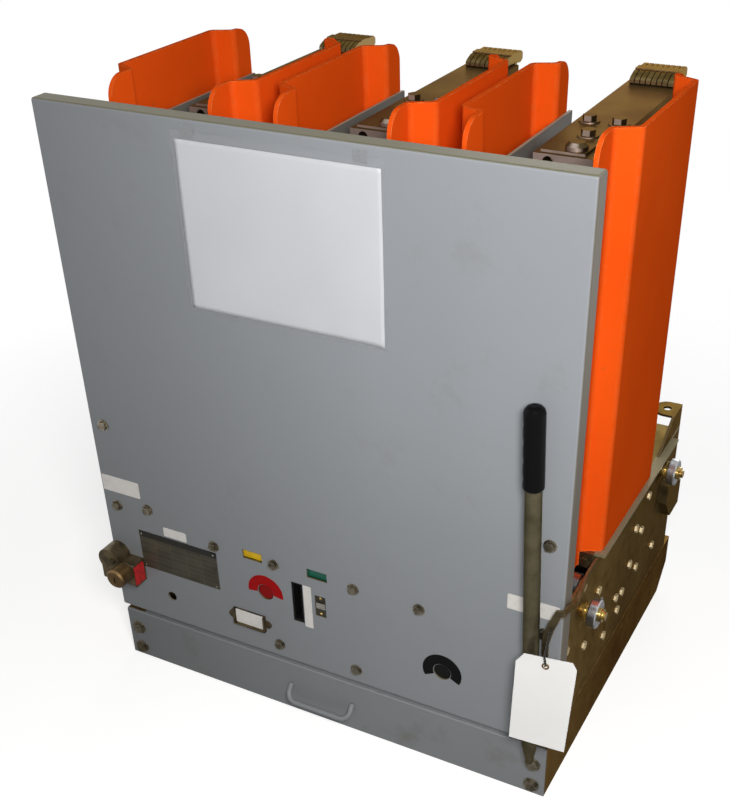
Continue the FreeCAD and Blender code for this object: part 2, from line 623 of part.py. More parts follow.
def mech_deck():
    body = new_body("mech_deck")
    pad(body, "XY_Plane", "deck_top - deck_thick", "deck_thick",
        rect("-plate_inner", "deck_front", "plate_inner", "deck_rear"))
    pad(body, "XY_Plane", "deck_top - deck_thick - deck_skirt", "deck_skirt",
        rect("-plate_inner", "deck_front", "plate_inner", "deck_front + deck_thick"),
        rect("-plate_inner", "deck_rear - deck_thick", "plate_inner", "deck_rear"))
    cut(body, "XY_Plane", "deck_top - deck_thick - 1", "deck_thick + 2",
        *[("circle", "%d * pole_pitch" % k, "stem_y", "rod_passage") for _, k in POLES])
    pad(body, "XZ_Plane", "deck_front - head_thick", "head_thick",
        *[hexagon(flip(s, "plate_inner - 1.6 * side_bolt_head"), "deck_top - deck_thick - deck_skirt / 2",
                  "side_bolt_head") for s in (1, -1)])


def mech_front_plate():
    body = new_body("mech_front_plate")
    face = "cover_depth - front_plate_thick"
    pad(body, "XZ_Plane", face, "front_plate_thick",
        rect("front_plate_left", "front_plate_low", "front_plate_right", "front_plate_high"))
    pad(body, "XZ_Plane", "cover_sheet", "%s - cover_sheet" % face,
        *[("circle", x, z, "spacer_radius") for x, z in CROSS_SCREWS])
    loops = [("circle", "trip_x", "trip_level", "button_stem + running_gap"),
             ("circle", "close_x", "close_level", "button_stem + running_gap")]
    for x in ("spring_flag_x", "position_flag_x"):
        loops.append(rect(x + " - flag_pin - running_gap", "flag_level - flag_travel - flag_pin - 0.5",
                          x + " + flag_pin + running_gap", "flag_level + flag_pin + 0.5"))
    cut(body, "XZ_Plane", face + " - 1", "front_plate_thick + 2", *loops)


def mech_plates():
    """The two inner plates that carry both shafts, from the base up to the deck."""
    body = new_body("mech_plates")
    for side in (1, -1):
        x0 = "frame_half - frame_plate / 2" if side > 0 else "-frame_half - frame_plate / 2"
        pad(body, "YZ_Plane", x0, "frame_plate",
            [("cover_depth", "front_plate_low"), ("cross_front", "base_height - base_sheet"),
             ("cross_front + cross_flange", "base_height - base_sheet"), ("frame_rear", "shaft_level - 50"),
             ("frame_rear", "deck_top - deck_thick"), ("deck_front + deck_thick", "deck_top - deck_thick"),
             ("deck_front + deck_thick", "deck_top - deck_thick - deck_skirt"),
             ("deck_front", "deck_top - deck_thick - deck_skirt"),
             ("deck_front", "front_plate_high"), ("cover_depth", "front_plate_high")])
        cut(body, "YZ_Plane", x0 + " - 1", "frame_plate + 2",
            ("circle", "stem_y - crank_length", "shaft_level", "shaft_radius + running_gap"),
            ("circle", "cam_shaft_y", "cam_shaft_level", "cam_shaft_radius + running_gap"))


# ---------------------------------------------------------------- pole units
def wall_loop(side):
    """Plan of one support wall: straight middle, stepped inwards at both ends."""
    t = "wall_thick"
    front = t + " * tan(atan(wall_step / (step_front_end - step_front_start)) / 2)"
    rear = t + " * tan(atan(wall_step / (step_rear_end - step_rear_start)) / 2)"
    narrow, wide = "wall_half - wall_step", "wall_half"
    pts = [(narrow, "wall_front"), (narrow, "step_front_start"), (wide, "step_front_end"),
           (wide, "step_rear_start"), (narrow, "step_rear_end"), (narrow, "wall_rear"),
           (narrow + " - " + t, "wall_rear"), (narrow + " - " + t, "step_rear_end - " + rear),
           (wide + " - " + t, "step_rear_start - " + rear),
           (wide + " - " + t, "step_front_end + " + front),
           (narrow + " - " + t, "step_front_start + " + front), (narrow + " - " + t, "wall_front")]
    return [(flip(side, x), y) for x, y in pts]


def pole_support(number, place):
    """Moulded support: two stepped walls, a foot, a shelf for the lower bar and an upper bridge."""
    body = new_body("pole_support_%d" % number)
    low = "deck_top - wall_drop"
    pad(body, "XY_Plane", low, "support_height + wall_drop", wall_loop(1), wall_loop(-1))
    top = V("deck_top") + V("support_height")
    ys = (V("wall_front"), V("wall_rear"))
    bends = [V("step_front_start"), V("step_front_end"), V("step_rear_start"), V("step_rear_end")]
    soften(body, "bend_round", lambda e: along(e, "z")
           and any(abs(e.Vertexes[0].Y - y) < V("wall_thick") for y in bends))
    soften(body, "corner_round", lambda e: along(e, "x") and near(e.Length, V("wall_thick"))
           and any(near(e.Vertexes[0].Y, y) for y in ys)
           and (near(e.Vertexes[0].Z, top) or near(e.Vertexes[0].Y, ys[0])))
    cut(body, "XY_Plane", low + " - 1", "wall_drop + 1",
        rect("-wall_half - 5", "deck_front - 1", "wall_half + 5", "wall_rear + 5"))
    inner = "wall_half - wall_thick"

    def web(level, y0, y1, hole):
        loops = [rect("-(%s)" % inner, y0, inner, y1)]
        if hole:
            loops.append(("circle", "0", "stem_y", "rod_passage"))
        pad(body, "XY_Plane", level, "web_thick", *loops)
    web("deck_top", "foot_front", "foot_rear", True)
    web("shelf_level", "foot_front + 12", "foot_rear", True)
    web("bridge_level", "bridge_front", "foot_rear + 8", False)
    pad(body, "XY_Plane", "bridge_level + web_thick",
        "deck_top + support_height - top_drop - bar_thick - bridge_level - web_thick",
        rect("-bar_width / 2 + 3", "bridge_front + 3", "bar_width / 2 - 3", "foot_rear + 8"))
    put(body, x="%d * pole_pitch" % place)


def pole_braces():
    """An angle inside each wall that ties its stepped ends together over the bridge."""
    body = new_body("pole_braces")
    low = "bridge_level + web_thick"
    loops = []
    for _, place in POLES:
        for side in (1, -1):
            pts = [("brace_offset", low), ("wall_half - wall_step - wall_thick", low),
                   ("wall_half - wall_step - wall_thick", low + " + brace_sheet"),
                   ("brace_offset + brace_sheet", low + " + brace_sheet"),
                   ("brace_offset + brace_sheet", low + " + brace_height"),
                   ("brace_offset", low + " + brace_height")]
            loops.append([("%d * pole_pitch + %s" % (place, flip(side, x)), z) for x, z in pts])
    pad(body, "XZ_Plane", "brace_front", "brace_rear - brace_front", *loops)


BAR_TOP = "deck_top + support_height - top_drop"


def bar(name, place, low, front, upper):
    body = new_body(name)
    half = "bar_width / 2"
    loops = [rect("-" + half, front, half, "bar_rear")]
    if not upper:
        loops.append(("circle", "0", "stem_y", "stem_radius + running_gap"))
    pad(body, "XY_Plane", low, "bar_thick", *loops)
    top = low + " + bar_thick"
    if upper:
        cut(body, "XZ_Plane", front + " - 1", "26",
            ("circle", "-bar_hole_offset", low + " + bar_thick / 2", "bar_end_hole"))
        pad(body, "XY_Plane", top, "pad_thick",
            rect("-pad_left", "stem_y - pad_front", "pad_right", "stem_y + pad_back"))
        pad(body, "XY_Plane", top + " + pad_thick", "stud_nut_height", ("circle", "stud_x", "stem_y", "stud_nut"))
        crown = V("deck_top") + V("support_height") - V("top_drop") + V("pad_thick") + V("stud_nut_height")
        soften(body, "stud_nut_height / 2", lambda e: near(e.BoundBox.ZMin, crown), "PartDesign::Chamfer")
    else:
        pad(body, "XY_Plane", top, "collar_height", ("circle", "0", "stem_y", "collar_radius"),
            ("circle", "0", "stem_y", "stem_radius + running_gap"))
    bolts = [("-bar_bolt_gauge / 2", "bar_bolt_y"), ("bar_bolt_gauge / 2", "bar_bolt_y")]
    if upper:
        bolts.append(("0", "bar_bolt_front"))
    pad(body, "XY_Plane", top, "washer_thick", *[("circle", x, y, "bar_bolt_washer") for x, y in bolts])
    pad(body, "XY_Plane", top + " + washer_thick", "bar_bolt_height",
        *[hexagon(x, y, "bar_bolt_head") for x, y in bolts])
    put(body, x="%d * pole_pitch" % place)


def finger_cluster(name, place, mid):
    """Two rows of sprung fingers that lap the bar's end and grip the fixed bar behind it.
    Built about the bar's mid plane, with the finger's front end at y = 0."""
    body = new_body(name)
    half = "finger_count * finger_pitch / 2"
    face, gap, rise = "bar_thick / 2", "finger_gap / 2", "bar_thick / 2 + finger_rise"
    length = "finger_length"
    profile = [("3", face), ("9", face), ("14", face + " + 2"), ("finger_lap + keeper_depth", face + " + 2"),
               (length + " - 14", gap), (length + " - 6", gap), (length, gap + " + 4"),
               (length, rise + " - 4"), (length + " - 5", rise), ("18", rise), ("4", rise + " - 5"),
               ("0", rise + " - 8"), ("0", face + " + 2")]
    first = pad(body, "YZ_Plane", "-(%s) + (finger_pitch - finger_width) / 2" % half, "finger_width", profile)
    doc.recompute()
    row = body.newObject("PartDesign::LinearPattern", "Row")
    row.Originals = [first]
    row.Direction = (origin_plane(body, "X_Axis"), [""])
    row.setExpression("Length", E("(finger_count - 1) * finger_pitch"))
    row.setExpression("Occurrences", E("finger_count"))
    body.Tip = row
    pad(body, "YZ_Plane", "-(%s)" % half, "2 * (%s)" % half,
        rect("finger_lap - 14", rise, "finger_lap + 4", rise + " + keeper_pad"))
    pad(body, "YZ_Plane", "-(%s)" % half, "2 * (%s)" % half,
        rect("finger_lap", "0", "finger_lap + keeper_depth", face + " + 2"))
    last = body.Tip
    mirror = body.newObject("PartDesign::Mirrored", "Lower")
    mirror.Originals = [f for f in body.Group if f.isDerivedFrom("PartDesign::Pad")]
    mirror.MirrorPlane = (origin_plane(body, "XY_Plane"), [""])
    body.Tip = mirror
    doc.recompute()
    put(body, x="%d * pole_pitch" % place, y="bar_rear - finger_lap", z=mid)
    return last


def interrupter(number, place):
    """Vacuum bottle: two ceramic barrels, a metal band, end cups, the fixed stem and contact."""
    body = new_body("interrupter_%d" % number)
    inner = "bottle_radius - bottle_wall"
    mid = "(bottle_low + bottle_high) / 2"
    contact = "contact_level"
    turn(body, "XZ_Plane", "V_Axis", [
        ("0", contact), ("contact_radius", contact), ("contact_radius", contact + " + contact_thick"),
        ("fixed_stem - 3", contact + " + contact_thick"), ("fixed_stem - 3", "bottle_high - 8"),
        (inner, "bottle_high - 8"), (inner, "bottle_low + 8"),
        ("stem_radius + 0.6", "bottle_low + 8"), ("stem_radius + 0.6", "bottle_low"),
        ("bottle_radius - 14", "bottle_low"), ("bottle_radius - 3", "bottle_low + 4"),
        ("bottle_radius - 3", "bottle_low + 12"), ("bottle_radius", "bottle_low + 14"),
        ("bottle_radius", mid + " - 14"), ("band_radius", mid + " - 10"), ("band_radius", mid + " + 10"),
        ("bottle_radius", mid + " + 14"), ("bottle_radius", "bottle_high - 14"),
        ("bottle_radius - 3", "bottle_high - 12"), ("bottle_radius - 3", "bottle_high - 4"),
        ("bottle_radius - 14", "bottle_high"), ("fixed_stem", "bottle_high"),
        ("fixed_stem", BAR_TOP + " - bar_thick"), ("0", BAR_TOP + " - bar_thick")])
    put(body, x="%d * pole_pitch" % place, y="stem_y")


def contact_rod(number, place):
    """Moving assembly of one pole: fork, insulating rod, stem and moving contact."""
    body = new_body("contact_rod_%d" % number)
    pin_z = "(shaft_level - crank_length * sin(crank_angle))"
    face = "contact_level - contact_gap"
    turn(body, "XZ_Plane", "V_Axis", [
        ("0", pin_z + " + 24"), ("rod_radius - 3", pin_z + " + 24"), ("rod_radius", pin_z + " + 30"),
        ("rod_radius", "rod_top - 3"), ("rod_radius - 3", "rod_top"), ("stem_radius", "rod_top"),
        ("stem_radius", face + " - contact_thick"), ("contact_radius", face + " - contact_thick"),
        ("contact_radius", face), ("0", face)])
    outer = "crank_thick / 2 + 1 + fork_ear"
    pad(body, "YZ_Plane", "-(%s)" % outer, "2 * (%s)" % outer,
        [("-15", pin_z + " - 13"), ("15", pin_z + " - 13"), ("15", pin_z + " + 27"), ("-15", pin_z + " + 27")])
    cut(body, "YZ_Plane", "-crank_thick / 2 - 1", "crank_thick + 2",
        rect("-16", pin_z + " - 20", "16", pin_z + " + 24"))
    slot = "crank_pin + running_gap"
    cut(body, "YZ_Plane", "-(%s) - 1" % outer, "2 * (%s) + 2" % outer,
        rect("-9", "%s - (%s)" % (pin_z, slot), "9", "%s + (%s)" % (pin_z, slot)))
    put(body, x="%d * pole_pitch" % place, y="stem_y")


# ---------------------------------------------------------------- shafts
def main_shaft():
    """Shaft across the mechanism with one crank and pin for each pole, at the open position."""
    body = new_body("main_shaft")
    pad(body, "YZ_Plane", "-plate_inner - plate_thick", "2 * (plate_inner + plate_thick)",
        ("circle", "0", "0", "shaft_radius"))
    c, s = "cos(crank_angle)", "sin(crank_angle)"

    def point(run, across):
        return ("(%s) * %s + (%s) * %s" % (run, c, across, s), "-(%s) * %s + (%s) * %s" % (run, s, across, c))
    for _, place in POLES:
        x = "%d * pole_pitch" % place
        pad(body, "YZ_Plane", x + " - crank_thick / 2", "crank_thick",
            [point("0", "-shaft_radius - 7"), point("8", "-shaft_radius - 7"),
             point("crank_length - 4", "-crank_pin - 5"), point("crank_length + crank_pin + 3", "-crank_pin"),
             point("crank_length + crank_pin + 3", "crank_pin"), point("crank_length - 4", "crank_pin + 5"),
             point("8", "shaft_radius + 7"), point("0", "shaft_radius + 7"),
             point("-shaft_radius - 6", "8"), point("-shaft_radius - 6", "-8")])
        pad(body, "YZ_Plane", x + " - crank_thick / 2 - fork_ear - 1", "crank_thick + 2 * fork_ear + 2",
            ("circle", "crank_length * " + c, "-crank_length * " + s, "crank_pin"))
    put(body, y="stem_y - crank_length", z="shaft_level")


def cam_shaft():
    """Charging shaft with its ratchet wheel and closing cam."""
    body = new_body("cam_shaft")
    end = "frame_half + frame_plate / 2"
    pad(body, "YZ_Plane", "-(%s)" % end, "2 * (%s)" % end, ("circle", "0", "0", "cam_shaft_radius"))
    teeth = int(round(V("ratchet_teeth")))
    loop = []
    for k in range(teeth):
        a, b = 360.0 * k / teeth, 360.0 * (k + 0.12) / teeth
        loop.append(("ratchet_radius * %.6f" % math.cos(math.radians(a)),
                     "ratchet_radius * %.6f" % math.sin(math.radians(a))))
        loop.append(("(ratchet_radius - 6) * %.6f" % math.cos(math.radians(b)),
                     "(ratchet_radius - 6) * %.6f" % math.sin(math.radians(b))))
    pad(body, "YZ_Plane", "-95", "8", loop)
    cam = []
    for k in range(18):
        a = 20.0 * k
        share = 0.55 + 0.45 * (k / 17.0)
        cam.append(("cam_radius * %.6f" % (share * math.cos(math.radians(a))),
                    "cam_radius * %.6f" % (share * math.sin(math.radians(a)))))
    pad(body, "YZ_Plane", "60", "14", cam)
    put(body, y="cam_shaft_y", z="cam_shaft_level")


# ---------------------------------------------------------------- rollers
def roller(name, side, y, z, radius, bore, standoff, width):
    body = new_body(name)
    start = "plate_inner + plate_thick + %s + roller_end_gap" % standoff
    x0 = start if side > 0 else "-(%s) - %s" % (start, width)
    if name == "guide_roller":
        x0 = "plate_inner - %s - roller_end_gap - %s" % (standoff, width)
    pad(body, "YZ_Plane", "0", width, ("circle", "0", "0", radius),
        ("circle", "0", "0", "%s + running_gap" % bore))
    soften(body, "1.5", lambda e: isinstance(e.Curve, Part.Circle) and near(e.Curve.Radius, V(radius)),
           "PartDesign::Chamfer")
    put(body, x=x0, y=y, z=z)


def roller_pins():
    """Pin, washers and head of each roller, standing on the side plates."""
    body = new_body("roller_pins")
    base = "plate_inner + plate_thick"

    def disc(side, start, length, radius, places):
        off = start if side > 0 else "-(%s) - (%s)" % (start, length)
        pad(body, "YZ_Plane", off, length, *[("circle", y, z, radius) for y, z in places])
    track = [("roller_front", "roller_level"), ("roller_rear", "roller_rear_level")]
    run = "roller_standoff + roller_width + 2 * roller_end_gap"
    for side in (1, -1):
        disc(side, "plate_inner", "plate_thick + " + run, "roller_bore", track)
        disc(side, base, "roller_standoff - 7", "pin_head - 2", track)
        disc(side, base + " + roller_standoff - 7", "2.5", "pin_head + 3", track)
        disc(side, base + " + roller_standoff - 4.5", "2", "pin_head", track)
        disc(side, base + " + roller_standoff - 2.5", "2.5", "pin_head + 3", track)
        disc(side, base + " + " + run, "pin_nut", "pin_head - 2", track)
        disc(side, base + " + pin_nut + " + run, "pin_end", "roller_bore - 2", track)
    inner = "guide_width + 3 + 2 * roller_end_gap"
    guide = [("guide_y", "guide_level")]
    disc(1, "plate_inner - (%s) - 4" % inner, "4", "pin_head - 2", guide)
    disc(1, "plate_inner - (%s)" % inner, inner + " + plate_thick", "guide_bore", guide)
    disc(1, "plate_inner - 3", "3", "guide_bore + 4", guide)


# ---------------------------------------------------------------- charging handle
def lever_clip():
    """Strap from the right side plate, round the cover's edge, with a ring for the stowed handle."""
    body = new_body("lever_clip")
    out, t = "plate_inner + plate_thick", "clip_sheet"
    far = "(cover_width / 2 + rim_gap)"
    ring_x = "(tube_x - (ring_level + ring_height / 2) * tan(tube_lean))"
    hole = "tube_radius + ring_gap"
    face, top = "tube_y / 2", "deck_top - clip_sheet"
    span = "(%s - %s - tube_radius - ring_gap)" % (far, ring_x)
    pad(body, "XY_Plane", "ring_level", "%s + clip_rise + 3 - ring_level" % top,
        [(out, "lip_front - 6"), (out + " + " + t, "lip_front - 6"), (out + " + " + t, "roller_front + 8"),
         (far + " + " + t, "cover_depth + 11"), (far + " + " + t, face + " - " + t),
         (ring_x + " + tube_radius - 4", face + " - " + t), (ring_x + " + tube_radius - 4", face),
         (far, face), (far, "cover_depth + 9"), (out, "roller_front + 6")])

    def rise(share, below="0"):
        return "%s + clip_rise * %s - %s" % (top, share, below)

    def left(share):
        return "%s - %s * %s" % (far, span, share)
    cut(body, "YZ_Plane", "plate_inner", "plate_thick + cover_lap + 4 * clip_sheet",
        [("lip_front", rise(0)), ("lip_front", rise(3)), (face, rise(3)), (face, rise("1.07")), ("0", rise(1)),
         ("cover_depth + 13", rise("0.4")), ("roller_front", rise(0))],
        [("lip_front", rise(0, "clip_height")), ("roller_front", rise(0, "clip_height")),
         ("cover_depth + 13", rise("0.4", "clip_height")), ("0", rise(1, "clip_height")),
         (face, rise("1.07", "clip_height")), (face, "ring_level - 5"), ("lip_front", "ring_level - 5")])
    cut(body, "XZ_Plane", "%s - 2 * %s" % (face, t), "2 * " + t,
        [(left("-0.3"), rise("1.07")), (left("0.4"), rise("0.9")), (left("0.83"), rise(0)),
         (left("1.1"), rise("-0.97")), (left("1"), "ring_level + ring_height"),
         (left("2"), "ring_level + ring_height"), (left("2"), rise(3)), (left("-0.3"), rise(3))],
        [(left("-0.3"), rise("1.07", "clip_height")), (left("0.04"), rise("0.64")),
         (left("0.46"), rise("-0.3")), (left("0.7"), rise("-1.2")), (left("0.68"), "ring_level - 5"),
         (left("-0.3"), "ring_level - 5")])
    pad(body, "XY_Plane", "ring_level", "ring_height",
        ("circle", ring_x, "tube_y", hole + " + ring_wall"), ("circle", ring_x, "tube_y", hole))
    cut(body, "XY_Plane", "ring_level - 1", "ring_height + 2", ("circle", ring_x, "tube_y", hole))


def charging_handle():
    """Tube with a tapered foot, stowed upright; built along its own axis, then leaned."""
    body = new_body("charging_handle")
    tip = "tube_foot - foot_length"
    collar = "(ring_level + ring_height) / cos(tube_lean) + 0.8"
    turn(body, "XZ_Plane", "V_Axis", [
        ("0", tip), ("foot_tip - 1.5", tip), ("foot_tip", tip + " + 2"), ("tube_radius", "tube_foot"),
        ("tube_radius", collar), ("tube_radius + tube_collar", collar),
        ("tube_radius + tube_collar", collar + " + 5"), ("tube_radius", collar + " + 5"),
        ("tube_radius", "grip_low"), ("grip_bore", "grip_low"), ("grip_bore", "grip_low + grip_length - 12"),
        ("0", "grip_low + grip_length - 12")])
    lean(body)


def handle_grip():
    """Moulded grip with a domed end and hollows for the fingers on its left."""
    body = new_body("handle_grip")
    top = "grip_low + grip_length"
    turn(body, "XZ_Plane", "V_Axis", [
        ("grip_bore", "grip_low"), ("grip_radius - 1", "grip_low"), ("grip_radius", "grip_low + 2"),
        ("grip_radius", top + " - 9"), ("grip_radius - 1.2", top + " - 5"), ("grip_radius - 4", top + " - 1.8"),
        ("grip_radius - 8", top), ("0", top), ("0", top + " - 12"), ("grip_bore", top + " - 12")])
    cut(body, "XZ_Plane", "-2 * grip_radius", "4 * grip_radius",
        *[("circle", "-2 * grip_radius + grip_notch", "grip_low + grip_length * %.3f" % f, "grip_radius")
          for f in (0.14, 0.36, 0.58, 0.80)])
    lean(body)


def lean(body):
    body.Placement = FreeCAD.Placement(Vector(0, 0, 0), FreeCAD.Rotation(Vector(0, 1, 0), -V("tube_lean")))
    put(body, x="tube_x", y="tube_y")


# ---------------------------------------------------------------- small parts on the cover
def key_lock_body():
    """Cast lock case with a round boss at its left end and one fixing screw."""
    body = new_body("key_lock_body")
    pad(body, "XZ_Plane", "-lock_depth", "lock_depth",
        rect("lock_right - lock_length", "lock_low", "lock_right", "lock_low + lock_height"))
    y = -V("lock_depth")
    soften(body, "lock_depth / 5", lambda e: along(e, "x") and near(e.Vertexes[0].Y, y))
    boss_x = "lock_right - lock_boss_inset"
    pad(body, "XZ_Plane", "-lock_depth", "lock_depth", ("circle", boss_x, "lock_boss_level", "lock_boss_radius"))
    pad(body, "XZ_Plane", "-lock_depth - lock_screw_stand", "lock_screw_stand",
        ("circle", boss_x + " + lock_screw", "lock_boss_level", "lock_screw"))


def key_lock_cylinder():
    body = new_body("key_lock_cylinder")
    pad(body, "XZ_Plane", "0", "lock_knob_length", ("circle", "0", "0", "lock_knob_radius"))
    soften(body, "3", lambda e: isinstance(e.Curve, Part.Circle) and near(e.BoundBox.YMin, 0),
           "PartDesign::Chamfer")
    cut(body, "XZ_Plane", "-1", "6", rect("-1.2", "-6", "1.2", "5"))
    put(body, x="lock_right - lock_knob_inset", y="-lock_depth - lock_knob_length", z="lock_knob_level")


def card_holder():
    """Small frame, open at the top, with a round ear at each end."""
    body = new_body("card_holder")
    hw, hh = "card_width / 2", "card_height / 2"
    pad(body, "XZ_Plane", "-2", "2", rect("-" + hw, "-" + hh, hw, hh))
    pad(body, "XZ_Plane", "-1.5", "1.5", ("circle", "-%s - 3" % hw, "0", "7"))
    pad(body, "XZ_Plane", "-1.5", "1.5", ("circle", "%s + 3" % hw, "0", "7"))
    pad(body, "XZ_Plane", "-6", "4",
        [("-" + hw, "-" + hh), (hw, "-" + hh), (hw, hh), (hw + " - 2.5", hh), (hw + " - 2.5", "-%s + 2.5" % hh),
         ("-%s + 2.5" % hw, "-%s + 2.5" % hh), ("-%s + 2.5" % hw, hh), ("-" + hw, hh)])
    put(body, x="plate_card_x", z="plate_card_level")


def rating_plate():
    body = new_body("rating_plate")
    hw, hh = "rating_width / 2", "rating_height / 2"
    pad(body, "XZ_Plane", "-rating_thick", "rating_thick", rect("-" + hw, "-" + hh, hw, hh))
    pad(body, "XZ_Plane", "-rating_thick - 1", "1",
        ("circle", "-%s + 5" % hw, "0", "1.8"), ("circle", "%s - 5" % hw, "0", "1.8"))
    put(body, x="rating_x", z="rating_level")


def charge_slot():
    body = new_body("charge_slot")
    hw, hh = "slot_width / 2 - fit_gap", "slot_height / 2 - fit_gap"
    back = "cover_depth - front_plate_thick"
    pad(body, "XZ_Plane", "0.5", back + " - 0.5", rect("-(%s)" % hw, "-(%s)" % hh, hw, hh))
    cut(body, "XZ_Plane", "0", "14", rect("-(%s) + 3" % hw, "-(%s) + 5" % hh, hw + " - 3", hh + " - 3"))
    put(body, x="slot_x", z="slot_level")


def counter():
    body = new_body("counter")
    hw, hh = "counter_width / 2 - fit_gap", "counter_height / 2 - fit_gap"
    back = "cover_depth - front_plate_thick"
    pad(body, "XZ_Plane", "1", back + " - 1", rect("-(%s)" % hw, "-(%s)" % hh, hw, hh))
    cut(body, "XZ_Plane", "0", "3",
        rect("-(%s) + 3" % hw, "4", hw + " - 3", "11"))
    put(body, x="counter_x", z="counter_level")


def push_button(name, x, z):
    body = new_body(name)
    front = "button_recess"
    pad(body, "XZ_Plane", front, "button_length", ("circle", "0", "0", "button_hole - button_gap"))
    soften(body, "1.2", lambda e: isinstance(e.Curve, Part.Circle) and near(e.BoundBox.YMin, V("button_recess")),
           "PartDesign::Chamfer")
    pad(body, "XZ_Plane", front + " + button_length", "cover_depth + 14 - button_recess - button_length",
        ("circle", "0", "0", "button_stem"))
    put(body, x=x, z=z)


def flag(name, x):
    """Two-field flag behind its window, carried by a pin in the front plate's slot."""
    body = new_body(name)
    hw = "flag_window_width / 2 + 2.5"
    low = "-flag_window_height / 2 - 0.75"
    pad(body, "XZ_Plane", "flag_setback", "flag_sheet",
        rect("-(%s)" % hw, low, hw, "%s + 2 * flag_travel" % low))
    back = "flag_setback + flag_sheet"
    pad(body, "XZ_Plane", back, "cover_depth + 8 - (%s)" % back, ("circle", "0", "0", "flag_pin"))
    put(body, x=x, z="flag_level")


# ---------------------------------------------------------------- inside the mechanism
def charging_motor():
    body = new_body("charging_motor")
    x0 = "frame_half + frame_plate / 2"
    pad(body, "YZ_Plane", x0, "22",
        rect("motor_y - motor_radius - 4", "motor_level - motor_radius + 8",
             "motor_y + motor_radius + 4", "motor_level + motor_radius - 2"))
    pad(body, "YZ_Plane", x0 + " + 22", "motor_length", ("circle", "motor_y", "motor_level", "motor_radius - 6"))
    pad(body, "YZ_Plane", x0 + " + 22 + motor_length", "9",
        ("circle", "motor_y", "motor_level", "motor_radius - 14"))


def closing_spring():
    """Closing spring on its guide rod, hung from the deck by an anchor at each end."""
    body = new_body("closing_spring")
    turns = int(round(V("spring_coils")))
    ring = []
    for k in range(turns):
        y = "%d * spring_pitch" % k
        ring += [(y + " + spring_pitch * 0.5", "spring_radius"),
                 (y + " + spring_pitch", "spring_radius - spring_wire")]
    length = "(%d * spring_pitch)" % turns
    turn(body, "YZ_Plane", "H_Axis", [("0", "0")] + [("0", "spring_radius - spring_wire")] + ring
         + [(length, "0")])
    up = "deck_top - deck_thick - spring_level"
    for y in ("-spring_anchor_thick", length):
        pad(body, "XZ_Plane", y, "spring_anchor_thick",
            [("-spring_radius", "-spring_radius"), ("spring_radius", "-spring_radius"),
             ("spring_radius", "spring_radius"), ("spring_anchor_half", "(%s) * 0.7" % up),
             ("spring_anchor_half", up), ("-spring_anchor_half", up),
             ("-spring_anchor_half", "(%s) * 0.7" % up), ("-spring_radius", "spring_radius")])
    put(body, x="spring_x", y="spring_front", z="spring_level")


def release_coils():
    body = new_body("release_coils")
    for x, z in (("trip_x - trip_coil_side", "trip_level - trip_coil_drop"),
                 ("close_x - close_coil_side", "close_level + close_coil_rise")):
        pad(body, "XZ_Plane", "cover_depth", "coil_plate",
            rect(x + " - coil_foot", z + " - coil_foot", x + " + coil_foot", z + " + coil_foot"))
        pad(body, "XZ_Plane", "cover_depth + coil_plate", "coil_length", ("circle", x, z, "coil_radius"))


front_cover()
cover_posts()
front_fasteners()
lower_front_panel()
pull_handle()
base_side("base_side_left", -1)
base_side("base_side_right", 1)
base_cross_members()
mech_side("mech_side_left", -1)
mech_side("mech_side_right", 1)
mech_deck()
mech_front_plate()
mech_plates()
for number, place in POLES:
    pole_support(number, place)
    bar("upper_bar_%d" % number, place, BAR_TOP + " - bar_thick", "upper_bar_front", True)
    bar("lower_bar_%d" % number, place, "shelf_level + web_thick", "lower_bar_front", False)
    finger_cluster("upper_fingers_%d" % number, place, BAR_TOP + " - bar_thick / 2")
    finger_cluster("lower_fingers_%d" % number, place, "shelf_level + web_thick + bar_thick / 2")
    interrupter(number, place)
    contact_rod(number, place)
pole_braces()
main_shaft()
cam_shaft()
for end, level in (("front", "roller_level"), ("rear", "roller_rear_level")):
    for hand, side in (("left", -1), ("right", 1)):
        roller("track_roller_%s_%s" % (end, hand), side, "roller_" + end, level,
               "roller_radius", "roller_bore", "roller_standoff", "roller_width")
roller("guide_roller", 1, "guide_y", "guide_level", "guide_radius", "guide_bore", "3", "guide_width")
roller_pins()
lever_clip()
charging_handle()
handle_grip()
key_lock_body()
key_lock_cylinder()
card_holder()
rating_plate()
charge_slot()
counter()
push_button("trip_button", "trip_x", "trip_level")
push_button("close_button", "close_x", "close_level")
flag("spring_flag", "spring_flag_x")
flag("position_flag", "position_flag_x")
charging_motor()
closing_spring()
release_coils()

doc.recompute()
faults = [o.Name + " of " + ", ".join(p.Label for p in o.InList) for o in doc.Objects if "Invalid" in o.State or "Error" in o.State]
if faults:
    raise RuntimeError("objects failed: " + ", ".join(faults))
for obj in PARTS:
    if obj.Shape.isNull() or not obj.Shape.isValid():
        raise RuntimeError("bad shape: " + obj.Label)
os.makedirs("parts", exist_ok=True)
for obj in PARTS:
    obj.Shape.exportStep("parts/%s.step" % obj.Label)
print("wrote", len(PARTS), "parts")
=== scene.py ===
import bpy, bmesh, math
from mathutils import Vector, Matrix


